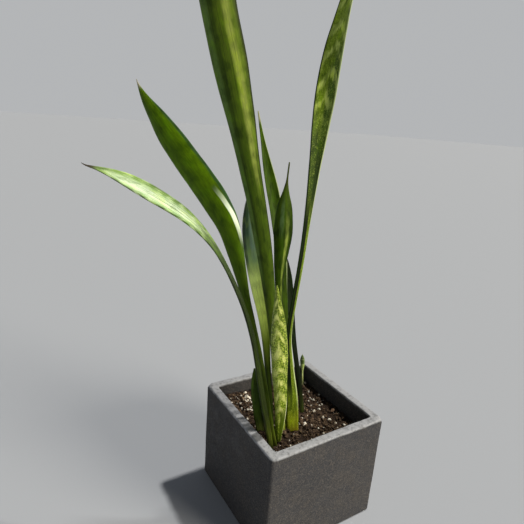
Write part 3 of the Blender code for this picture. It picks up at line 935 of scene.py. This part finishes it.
# %% Recipes: the dark leaves and the shoot
LEAF_LOOKS |= {
    "leaf_back_dark": dict(
        ripple=0.0003, seed=9, body=(
            (0.0, paint(60, 70, 30)), (0.2, paint(18, 26, 6)), (0.6, paint(12, 22, 4)),
            (1.0, paint(24, 40, 8))),
        bars=dict(colour=paint(40, 58, 22), per_metre=90, rise=0.8, jag=1.2, start=0.4,
                  end=0.95, strength=0.35), glow_through=0.0, shine=0.10),
    "leaf_left_short": dict(
        ripple=0.0003, seed=10, body=(
            (0.0, paint(90, 96, 50)), (0.3, paint(40, 56, 10)), (0.7, paint(36, 56, 10)),
            (1.0, paint(56, 74, 20))),
        veins=1.0, glow_through=0.0, right_edge=(paint(92, 104, 60), 0.1, 0.3, 0.95)),
    "young_shoot": dict(
        ripple=0.0, seed=11, waver=0.0,
        plump=((0, 1), (0.4, 0.8), (0.58, 0.8), (0.70, 1.15), (0.85, 1.5), (0.95, 1.2), (1, 0.7)),
        body=((0.0, paint(220, 214, 180)), (0.35, paint(214, 222, 160)),
              (0.6, paint(200, 218, 140)), (0.76, paint(188, 210, 118)),
              (0.82, paint(70, 96, 26)), (1.0, paint(36, 54, 8))),
        mottle=(paint(96, 124, 50), paint(232, 240, 190), 0.6),
        veins=0.4, glow_through=0.0),
}
print("recipes in all:", len(LEAF_LOOKS))

# %% [markdown]
# Each leaf is now made and dressed. `settle` is the last step for every piece on this plant:
# it gives the piece its finish, lets it ride with the plant, and hides the plain solid it
# stands for. That bookkeeping could be repeated in each cell, but a step that is always taken
# in one place isn't forgotten.

# %% Dress the leaves
def settle(piece, slot, finish, *stands_for):
    """Gives a piece its finish and makes it ride with the plant. The slot argument is not used."""
    piece.data.materials.clear()
    piece.data.materials.append(finish)
    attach(piece, "root")
    if stands_for:
        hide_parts(*stands_for)
    return piece


for name, look in LEAF_LOOKS.items():
    look = dict(look)
    shape = {key: look.pop(key) for key in ("ripple", "tail", "waver", "plump") if key in look}
    leaf, length = laid_leaf(name, seed=look["seed"], **shape)
    settle(leaf, name, leaf_finish(name + "_skin", length, **look), name)
bpy.data.objects.remove(blank)
print("leaves dressed:", len(LEAF_LOOKS))

# %% [markdown]
# ## The pot
# The pot is cast from a stone mix: a square box with soft edges and thick walls. It could be
# two boxes, one cut from the other, but a Boolean leaves long thin faces. A cube whose top is
# inset and pushed down gives the same hollow with clean faces, which can be cut up later.

# %% Pot block
SOIL_GAP = 0.0003
pot_low, pot_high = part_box("pot")
soil_low, soil_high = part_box("soil")
POT_SIDE, POT_TALL = pot_high.x - pot_low.x, pot_high.z
WALL = pot_high.x - soil_high.x - SOIL_GAP
FLOOR = soil_low.z - SOIL_GAP
deselect()
bpy.ops.mesh.primitive_cube_add(size=1, location=(0, 0, POT_TALL / 2))
pot = bpy.context.object
pot.name = pot.data.name = "pot_casting"
pot.scale = (POT_SIDE, POT_SIDE, POT_TALL)
bpy.ops.object.transform_apply(location=True, rotation=True, scale=True)
print(f"pot: {POT_SIDE:.3f} wide, {POT_TALL:.3f} tall, wall {WALL:.4f}, floor {FLOOR:.4f}")

# %% [markdown]
# In the window a face or an edge is clicked on. A script has no pointer, so it picks them by
# where they are and which way they face, and then works on them in edit mode.

# %% Hollow the pot
def pick(piece, kind, test):
    """Selects the faces or edges for which test(middle, direction) holds."""
    mesh = piece.data
    for items in (mesh.vertices, mesh.edges, mesh.polygons):
        items.foreach_set("select", [False] * len(items))
    chosen = 0
    if kind == "faces":
        for face in mesh.polygons:
            face.select = test(face.center, face.normal)
            chosen += face.select
    else:
        for edge in mesh.edges:
            a, b = (mesh.vertices[i].co for i in edge.vertices)
            edge.select = test((a + b) / 2, (b - a).normalized())
            chosen += edge.select
    return chosen


def edit_on(piece, mode, action):
    bpy.context.tool_settings.mesh_select_mode = (False, mode == "edges", mode == "faces")
    only(piece)
    in_edit(action)


print("top faces:", pick(pot, "faces", lambda c, n: n.z > 0.9))
edit_on(pot, "faces", lambda: (
    bpy.ops.mesh.inset(thickness=WALL),
    bpy.ops.mesh.extrude_region_move(TRANSFORM_OT_translate={"value": (0, 0, FLOOR - POT_TALL)})))

# %% [markdown]
# No cast edge is sharp. The four upright corners have the larger round, inside and out, and
# the rims and the foot a smaller one. A single Bevel on all of them would give one radius,
# so they are done in two goes, upright edges first.

# %% Round the edges
UPRIGHT_ROUND, RIM_ROUND, EDGE_STRIP = 0.0034, 0.0016, 0.0021
print("upright edges:", pick(pot, "edges", lambda m, d: abs(d.z) > 0.9))
edit_on(pot, "edges", lambda: bpy.ops.mesh.bevel(offset=UPRIGHT_ROUND, segments=4,
                                                 affect="EDGES"))


def on_rim(m, d):
    side = max(abs(m.x), abs(m.y))
    inner = POT_SIDE / 2 - WALL
    if abs(d.z) > 0.3:
        return False
    if m.z > POT_TALL - 1e-5:
        return side > POT_SIDE / 2 - EDGE_STRIP or side < inner + 0.001
    return m.z < 1e-5 and side > POT_SIDE / 2 - EDGE_STRIP


print("rim edges:", pick(pot, "edges", on_rim))
edit_on(pot, "edges", lambda: bpy.ops.mesh.bevel(offset=RIM_ROUND, segments=3, affect="EDGES"))

# %% [markdown]
# A straight cut through the whole pot every few millimetres turns each flat side into a net
# of small faces, so that its surface can be moved. Subdividing would split the small round
# edges as often as the wide sides, and bisect cuts only where it is told to. The cuts are
# closest under the rim, where the wear is.

# %% Net of faces
NET_ACROSS, NET_UP, RIM_CUTS, RIM_CUT_FROM, RIM_CUT_GAP = 52, 36, 5, 0.0008, 0.0013


def slice_pot():
    def cut(at, across):
        bpy.ops.mesh.select_all(action="SELECT")
        bpy.ops.mesh.bisect(plane_co=at, plane_no=across)
    for i in range(1, NET_ACROSS):
        place = POT_SIDE * (i / NET_ACROSS - 0.5)
        cut((place, 0, 0), (1, 0, 0))
        cut((0, place, 0), (0, 1, 0))
    for i in range(1, NET_UP):
        cut((0, 0, POT_TALL * i / NET_UP), (0, 0, 1))
    for i in range(1, RIM_CUTS + 1):
        cut((0, 0, POT_TALL - RIM_CUT_FROM - RIM_CUT_GAP * i), (0, 0, 1))


only(pot)
in_edit(slice_pot)
print("pot net:", len(pot.data.polygons), "faces")

# %% [markdown]
# A hand-cast side swells a little, is pored all over, and its rim has been knocked. Sculpting
# would do it by eye. Here the net moves along its own normals, by a slow noise for the
# swell, a quick one for the pores, and a round bite wherever the rim has a nick.

# %% Swell, pores and nicks
pot_points = np.array([v.co[:] for v in pot.data.vertices])
pot_normals = np.array([v.normal[:] for v in pot.data.vertices])
SWELL, PORES, FINE_PORES, CHIPS, WORN_BAND = 0.00028, 0.00007, 0.00005, 0.0008, 0.004
# each nick: x, y, how far it reaches and how deep it is
NICKS = ((-0.0745, -0.018, 0.0052, 0.0016), (-0.0745, 0.022, 0.0034, 0.0011),
         (-0.0750, -0.048, 0.0030, 0.0009), (-0.0745, 0.050, 0.0060, 0.0013),
         (0.010, -0.0748, 0.0040, 0.0009), (0.045, -0.0746, 0.0034, 0.0008),
         (-0.030, 0.0748, 0.0050, 0.0010), (0.0748, 0.020, 0.0045, 0.0010))
for i, (where, way) in enumerate(zip(pot_points, pot_normals)):
    place = Vector(where)
    swell = noise.noise(place * 28) * SWELL
    pores = noise.noise(place * 420) * PORES + noise.noise(place * 900) * FINE_PORES
    rim = max(0.0, 1 - (POT_TALL - place.z) / WORN_BAND)
    chip = rim * max(0.0, noise.noise(place * 150) - 0.10) * CHIPS
    for x, y, reach, depth in NICKS:
        gap = math.dist(place, (x, y, POT_TALL)) / reach
        if gap < 1:
            ragged = 0.6 + 0.8 * abs(noise.noise(place * 700))
            chip += depth * (1 - gap * gap) ** 2 * ragged
    pot_points[i] += way * (swell + pores - chip)
print("nicks:", len(NICKS), "most moved:", round(float(np.abs(
    pot_points - np.array([v.co[:] for v in pot.data.vertices])).max()), 5))

# %% [markdown]
# The four top corners are the first to rub off. Wherever the net lies past a small ball in
# such a corner it is drawn back to the ball, which rounds three edges at once, as wear does.
# All points are then kept inside the plain pot's box.

# %% Rub the corners
CORNER = 0.0045
core = np.array([POT_SIDE / 2 - CORNER, POT_SIDE / 2 - CORNER, POT_TALL - CORNER])
past = np.abs(pot_points) - core
at_corner = (past > 0).all(axis=1)
reach = np.linalg.norm(past, axis=1)
pulled = core + past * np.minimum(1, CORNER / np.maximum(reach, 1e-9))[:, None]
pot_points[at_corner] = (np.sign(pot_points) * pulled)[at_corner]
pot_points[:, 2] = np.clip(pot_points[:, 2], 0, POT_TALL)
pot_points[:, :2] = np.clip(pot_points[:, :2], -POT_SIDE / 2, POT_SIDE / 2)
pot.data.vertices.foreach_set("co", pot_points.ravel())
pot.data.update()
only(pot)
bpy.ops.object.shade_smooth_by_angle(angle=math.radians(50))
print("corner points drawn in:", int(at_corner.sum()), "of", len(pot_points))

# %% [markdown]
# ## The stone finish
# Anthracite stone mix is nearly black when smooth, with fine pale and dark grit in it, a
# dusty bloom in broad clouds, and a rim rubbed down to grey, painted paler still as a
# painted highlight. An image of stone would need unwrapping and would repeat. Grit comes
# from a fine noise with a hard threshold instead, the bloom from a broad one, and the rim's
# wear and painted highlight from the height on the pot.

# %% Stone finish
stone = new_finish("anthracite_stone")
stone_shader = stone.node_tree.nodes["Principled BSDF"]
place = add(stone, "TexCoord").outputs["Object"]
height = add(stone, "SeparateXYZ", {0: place}).outputs[2]
broad = grain(stone, place, 14.0, 4.0, 0.6)
cloud = grain(stone, place, 60.0, 5.0, 0.65)
speck = grain(stone, place, 620.0, 3.0, 0.7)
pits = grain(stone, place, 1500.0, 2.0, 0.6)
tone = ramp(stone, broad, ((0.3, paint(42, 44, 49)), (0.5, paint(48, 49, 53)),
                           (0.7, paint(54, 54, 56))), True)
tone = over(stone, between(stone, cloud, 0.42, 0.68, 0.0, 0.22), tone, paint(82, 77, 72))
tone = over(stone, between(stone, speck, 0.54, 0.68, 0.0, 0.4), tone, paint(112, 106, 98))
tone = over(stone, between(stone, speck, 0.46, 0.34, 0.0, 0.6), tone, paint(28, 27, 29))
# the rubbed rim: wear, made paler still as a painted highlight
rim_wear_and_highlight = between(stone, calc(stone, "MULTIPLY_ADD", cloud, 0.004, height),
              POT_TALL - 0.0014, POT_TALL + 0.0012)
rim_wear_and_highlight = calc(stone, "MULTIPLY", rim_wear_and_highlight, between(stone, grain(stone, place, 240.0, 4.0, 0.7),
                                           0.30, 0.55, 0.45, 1.0))
tone = over(stone, rim_wear_and_highlight, tone, paint(146, 149, 154))
dust = between(stone, pits, 0.52, 0.66, 0.0, 0.35)
tone = over(stone, dust, tone, paint(120, 114, 104))
stone.node_tree.links.new(tone, stone_shader.inputs["Base Color"])
stone.node_tree.links.new(between(stone, cloud, 0.3, 0.7, 0.62, 0.9),
                          stone_shader.inputs["Roughness"])
stone_shader.inputs["Specular IOR Level"].default_value = 0.3
bumped(stone, stone_shader, calc(stone, "MULTIPLY_ADD", pits, 0.5, speck), 0.00035, 0.7)
settle(pot, "pot_stone", stone, "pot")
print("stone nodes:", len(stone.node_tree.nodes))

# %% [markdown]
# ## The soil
# Potting soil is a bed of dark crumbs, not a smooth plane. It could be made of crumbs all
# through, but only its top is ever seen. A fine grid takes the slope of the soil, broad
# lumps, clods and fine crumbs, each as a noise. Its border is pulled down to the pot's floor
# and closed, so that the bed is solid.

# %% Soil bed
SOIL_HALF = soil_high.x
BED_CELLS, BORDER_DROP = 150, 0.08
BED_UNDER_RIM, FALL_ALONG_X, RISE_ALONG_Y = 0.0185, 0.060, 0.015
BROAD_HEIGHT, CLOD_HEIGHT, CRUMB_HEIGHT = 0.0012, 0.0026, 0.0009
deselect()
bpy.ops.mesh.primitive_grid_add(x_subdivisions=BED_CELLS, y_subdivisions=BED_CELLS,
                                size=2 * SOIL_HALF)
soil = bpy.context.object
soil.name = soil.data.name = "soil_bed"


def soil_level(x, y):
    """How high the bed is at a place, without its small crumbs."""
    broad_lumps = noise.noise(Vector((x * 55, y * 55, 3.0))) * BROAD_HEIGHT
    return POT_TALL - BED_UNDER_RIM - FALL_ALONG_X * x + RISE_ALONG_Y * y + broad_lumps


def crumbly(x, y):
    here = Vector((x, y, 0))
    lumps = noise.turbulence(here * 170, 4, False) - 0.6
    fine = noise.noise(here * 900)
    return soil_level(x, y) + CLOD_HEIGHT * lumps + CRUMB_HEIGHT * fine


def drop_border():
    bpy.ops.mesh.select_all(action="SELECT")
    bpy.ops.mesh.region_to_loop()
    bpy.ops.mesh.extrude_region_move(TRANSFORM_OT_translate={"value": (0, 0, -BORDER_DROP)})
    bpy.ops.mesh.edge_face_add()


only(soil)
in_edit(drop_border)
for vertex in soil.data.vertices:
    if vertex.co.z < -0.01:
        vertex.co.z = soil_low.z
    else:
        vertex.co.z = crumbly(vertex.co.x, vertex.co.y)
print(f"bed in the middle: {soil_level(0, 0):.4f}, lowest {soil_low.z:.4f}")

# %% [markdown]
# The pot's upright corners are round inside, so the bed's corners must be round too, or they
# would stick into the casting. Each corner's points are drawn in to an arc.

# %% Round the bed's corners
BED_ROUND = 0.003
soil_corner = SOIL_HALF - BED_ROUND
for vertex in soil.data.vertices:
    x, y = vertex.co.xy
    if abs(x) > soil_corner and abs(y) > soil_corner:
        out = Vector((abs(x) - soil_corner, abs(y) - soil_corner))
        if out.length > BED_ROUND:
            out *= BED_ROUND / out.length
            vertex.co.x = math.copysign(soil_corner + out.x, x)
            vertex.co.y = math.copysign(soil_corner + out.y, y)
only(soil)
in_edit(lambda: (bpy.ops.mesh.select_all(action="SELECT"),
                 bpy.ops.mesh.normals_make_consistent(inside=False)))
bpy.ops.object.shade_smooth_by_angle(angle=math.radians(60))
print("soil:", len(soil.data.polygons), "faces")

# %% [markdown]
# Potting mix is dark, fine and broken: wet crumbs, dry fibre and small glints. Its paint is a
# ramp along fine noise, so a crumb and the gap beside it never have the same tone. The same
# paint dresses the bed and the loose crumbs, which is why it has a function of its own.

# %% Soil finish
def earth_finish(name, dark, middle, pale):
    finish = new_finish(name)
    shader = finish.node_tree.nodes["Principled BSDF"]
    place = add(finish, "TexCoord").outputs["Object"]
    clods = grain(finish, place, 360.0, 4.0, 0.7)
    fine = grain(finish, place, 1300.0, 3.0, 0.7)
    tone = ramp(finish, clods, ((0.32, dark), (0.52, middle), (0.72, pale)))
    tone = over(finish, between(finish, fine, 0.5, 0.68, 0.0, 0.7), tone, pale)
    tone = over(finish, between(finish, fine, 0.5, 0.34, 0.0, 0.8), tone, dark)
    finish.node_tree.links.new(tone, shader.inputs["Base Color"])
    finish.node_tree.links.new(between(finish, clods, 0.3, 0.7, 0.75, 0.98),
                               shader.inputs["Roughness"])
    shader.inputs["Specular IOR Level"].default_value = 0.2
    return bumped(finish, shader, calc(finish, "MULTIPLY_ADD", clods, 1.0, fine), 0.0006)


earth = earth_finish("dark_potting_soil", paint(14, 9, 6), paint(40, 29, 22), paint(88, 70, 54))
settle(soil, "potting_soil", earth, "soil")
print("soil nodes:", len(earth.node_tree.nodes))

# %% [markdown]
# ## Crumbs, grains and chips
# The loose bits are dark crumbs of earth, puffed white perlite, and bark. A particle system
# could strew them, but its copies all face one way unless it is tuned, and each would have
# to be made real. A few shapes are crumpled out of small balls instead, and each copy gets a
# turn of its own.

# %% Crumple a ball
def crumpled_ball(divisions, lumps, seed, squash):
    deselect()
    bpy.ops.mesh.primitive_ico_sphere_add(subdivisions=divisions, radius=0.5)
    ball = bpy.context.object
    for vertex in ball.data.vertices:
        way = vertex.co.normalized()
        bulge = noise.noise(way * 1.6 + Vector((seed, 0, 0))) * lumps
        bulge += noise.noise(way * 4.0 + Vector((0, seed, 0))) * lumps * 0.45
        vertex.co = way * 0.5 * (1 + bulge)
        vertex.co.z *= squash
    co = np.array([v.co[:] for v in ball.data.vertices])
    faces = np.array([p.vertices[:] for p in ball.data.polygons])
    bpy.data.objects.remove(ball)
    return co, faces


def turn_matrix(rng):
    return np.array(Matrix.Rotation(rng.uniform(0, 6.28), 3, "Z")
                    @ Matrix.Rotation(rng.uniform(-0.5, 0.5), 3, "X"))


print("a crumb has", len(crumpled_ball(1, 0.75, 3.0, 0.8)[1]), "faces")

# %% [markdown]
# Thousands of separate objects would be slow, so all bits of one kind are put together in
# one mesh. Each bit is a copy of one of the shapes, stretched, turned and moved to its spot.

# %% Strew one mesh
def strewn(name, shapes, spots, rng):
    """One mesh of many loose bits: each spot is x, y, z and a size."""
    points, faces, start = [], [], 0
    for x, y, z, size in spots:
        co, tri = shapes[rng.randrange(len(shapes))]
        stretch = np.array([rng.uniform(0.8, 1.25), rng.uniform(0.8, 1.25), rng.uniform(0.8, 1.1)])
        points.append((co * stretch * size) @ turn_matrix(rng).T + np.array([x, y, z]))
        faces.append(tri + start)
        start += len(co)
    mesh = bpy.data.meshes.new(name)
    mesh.from_pydata(np.concatenate(points).tolist(), [], np.concatenate(faces).tolist())
    mesh.update()
    piece = bpy.data.objects.new(name, mesh)
    bpy.context.scene.collection.objects.link(piece)
    print(f"{name}: {len(spots)} bits, {len(mesh.polygons)} faces")
    return piece


print("strewn: one mesh for each kind of bit")

# %% [markdown]
# A bit lies anywhere on the bed, but not where a leaf comes up through it. The foot of each
# leaf is measured on the plain model, and a spot too near to one is thrown away. Small bits
# are far more common than large ones, as they are in a sieved mix.

# %% Choose the spots
STREWN_HALF = SOIL_HALF - 0.002
BIT_LIFT, FOOT_HEIGHT = 0.26, 0.025
leaf_feet = []
for name in LEAF_LOOKS:
    corner = np.array([v.co[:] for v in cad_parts[name].data.vertices])
    low = corner[corner[:, 2] < corner[:, 2].min() + FOOT_HEIGHT]
    leaf_feet.append((low[:, 0].mean(), low[:, 1].mean(), 0.5 * np.ptp(low[:, 0]) + 0.001))


def strew_spots(count, sizes, rng):
    spots = []
    while len(spots) < count:
        size = sizes[0] + (sizes[1] - sizes[0]) * rng.random() ** 2.2
        x, y = (rng.uniform(-1, 1) * (STREWN_HALF - size / 2) for _ in range(2))
        if any(math.dist((x, y), foot[:2]) < foot[2] * 0.6 for foot in leaf_feet):
            continue
        spots.append((x, y, crumbly(x, y) + size * BIT_LIFT, size))
    return spots


print("leaf feet to keep clear:", len(leaf_feet))

# %% [markdown]
# The crumbs are the same earth as the bed but drier on top, so they are a little paler. Low
# balls are enough: at their size only the broken outline shows. The seed is fixed, so that
# the same crumbs fall each time.

# %% Crumbs
CRUMBS, CRUMB_SIZES = 2600, (0.0009, 0.0046)
rng = random.Random(41)
crumb_shapes = [crumpled_ball(1, 0.75, 3.0 + i, 0.8) for i in range(6)]
crumbs = strewn("soil_crumbs", crumb_shapes, strew_spots(CRUMBS, CRUMB_SIZES, rng), rng)
crumb_earth = earth_finish("loose_crumbs", paint(18, 12, 8), paint(56, 41, 31),
                           paint(146, 124, 98))
settle(crumbs, "potting_soil", crumb_earth)

# %% [markdown]
# Perlite is puffed volcanic glass: white, light, full of tiny bubbles, and stained brown in
# places where wet soil has touched it. A plain white would look like plastic, so a fine
# noise dirties the hollows and a broad one lays the stains.

# %% Perlite finish
perlite_finish = new_finish("puffed_perlite")
perlite_shader = perlite_finish.node_tree.nodes["Principled BSDF"]
place = add(perlite_finish, "TexCoord").outputs["Object"]
puff = grain(perlite_finish, place, 900.0, 4.0, 0.65)
stain = grain(perlite_finish, place, 160.0, 3.0)
tone = ramp(perlite_finish, puff, ((0.32, paint(168, 158, 140)), (0.46, paint(222, 217, 202)),
                                   (0.65, paint(244, 241, 230))))
tone = over(perlite_finish, between(perlite_finish, stain, 0.52, 0.7, 0.0, 0.5), tone,
            paint(150, 128, 98))
perlite_finish.node_tree.links.new(tone, perlite_shader.inputs["Base Color"])
perlite_finish.node_tree.links.new(between(perlite_finish, puff, 0.3, 0.7, 0.7, 0.95),
                                   perlite_shader.inputs["Roughness"])
bumped(perlite_finish, perlite_shader, puff, 0.0004)
print("perlite nodes:", len(perlite_finish.node_tree.nodes))

# %% [markdown]
# Its small grains are strewn like the crumbs, and a few dozen lie in a heap near the left
# corner, where they weren't stirred in. Those are thrown about one point, so that the heap
# is thick in its middle and thins out.

# %% Small perlite
SMALL_GRAINS, HEAPED_GRAINS = 120, 46
grain_shapes = [crumpled_ball(2, 1.0, 20.0 + i, 0.8) for i in range(6)]
loose = strew_spots(SMALL_GRAINS, (0.0008, 0.0034), rng)
for _ in range(HEAPED_GRAINS):
    x, y = rng.gauss(-0.040, 0.012), rng.gauss(0.046, 0.011)
    if max(abs(x), abs(y)) < SOIL_HALF - 0.003:
        size = rng.uniform(0.0009, 0.0034)
        loose.append((x, y, crumbly(x, y) + size * 0.28, size))
scatter = strewn("perlite_scatter", grain_shapes, loose, rng)
settle(scatter, "perlite", perlite_finish)
only(scatter)
bpy.ops.object.shade_smooth()

# %% [markdown]
# Thirteen grains are large enough to be pieces of their own. Each could keep its plain
# solid, but a close look would find the flat faces. A finely crumpled ball, stretched to the
# plain grain's box, takes its place.

# %% Large perlite
big_shapes = [crumpled_ball(4, 0.95, 40.0 + i, 0.9) for i in range(5)]
for name in sorted(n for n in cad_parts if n.startswith("perlite")):
    low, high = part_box(name)
    middle, span = (low + high) / 2, high - low
    co, tri = big_shapes[rng.randrange(len(big_shapes))]
    co = co @ turn_matrix(rng).T
    co = co / np.ptp(co, axis=0) * np.array(span) * 1.02 + np.array(middle)
    mesh = bpy.data.meshes.new(name + "_grain")
    mesh.from_pydata(co.tolist(), [], tri.tolist())
    piece = bpy.data.objects.new(name + "_grain", mesh)
    bpy.context.scene.collection.objects.link(piece)
    only(piece)
    bpy.ops.object.shade_smooth()
    settle(piece, "perlite", perlite_finish, name)
    print(name, "spans", [round(s * 1000, 1) for s in span], "mm")

# %% [markdown]
# A few chips of composted bark lie in the mix. Bark splits in flat pieces with long brown
# fibres. The fibres could be cut into the mesh, but they are finer than its faces. One
# noise, drawn out along the chip, gives both their colour and their ridges.

# %% Bark finish
bark_finish = new_finish("torn_bark")
bark_shader = bark_finish.node_tree.nodes["Principled BSDF"]
place = add(bark_finish, "TexCoord").outputs["Object"]
stretched = add(bark_finish, "Mapping", {"Vector": place, "Scale": (500, 1500, 1500)}).outputs[0]
fibre = grain(bark_finish, stretched, 1.0, 4.0, 0.65)
tone = ramp(bark_finish, fibre, ((0.3, paint(52, 36, 25)), (0.5, paint(98, 72, 50)),
                                 (0.7, paint(142, 112, 80))))
bark_finish.node_tree.links.new(tone, bark_shader.inputs["Base Color"])
bark_finish.node_tree.links.new(between(bark_finish, fibre, 0.3, 0.7, 0.65, 0.9),
                                bark_shader.inputs["Roughness"])
bumped(bark_finish, bark_shader, fibre, 0.0005)
print("bark nodes:", len(bark_finish.node_tree.nodes))

# %% [markdown]
# A chip is a flat, torn block. It could be crumpled from a ball like a grain, but then it
# would lose its split faces. A divided copy of the plain block, roughened a little along its
# normals, keeps them.

# %% Bark chips
for name in sorted(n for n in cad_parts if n.startswith("bark")):
    chip = merged_copy(name)
    chip.name = chip.data.name = name + "_chip"
    fine = chip.modifiers.new("fine", "SUBSURF")
    fine.subdivision_type, fine.levels, fine.render_levels = "SIMPLE", 4, 4
    only(chip)
    bpy.ops.object.modifier_apply(modifier="fine")
    ways = [v.normal.copy() for v in chip.data.vertices]
    for vertex, way in zip(chip.data.vertices, ways):
        rough = noise.noise(vertex.co * 700) * 0.0004 + noise.noise(vertex.co * 1800) * 0.00015
        vertex.co += way * rough
    bpy.ops.object.shade_smooth_by_angle(angle=math.radians(45))
    settle(chip, "bark", bark_finish, name)
    print(chip.name, len(chip.data.polygons), "faces")

# %% [markdown]
# ## Where it stands
# The plant stands on a plain pale floor. A curved backdrop would hide the far edge, but one
# very wide plane does as well, since it meets the pale room in nearly the same tone.

# %% Floor
FLOOR_WIDTH, FLOOR_TONE = 60, (0.303, 0.325, 0.361, 1)
deselect()
bpy.ops.mesh.primitive_plane_add(size=FLOOR_WIDTH, location=(0, 0, -0.0002))
floor = bpy.context.object
floor.name = "pale_floor"
pale = new_finish("pale_floor")
pale_shader = pale.node_tree.nodes["Principled BSDF"]
pale_shader.inputs["Base Color"].default_value = FLOOR_TONE
pale_shader.inputs["Roughness"].default_value = 0.9
floor.data.materials.append(pale)
print("floor:", FLOOR_WIDTH, "m wide")
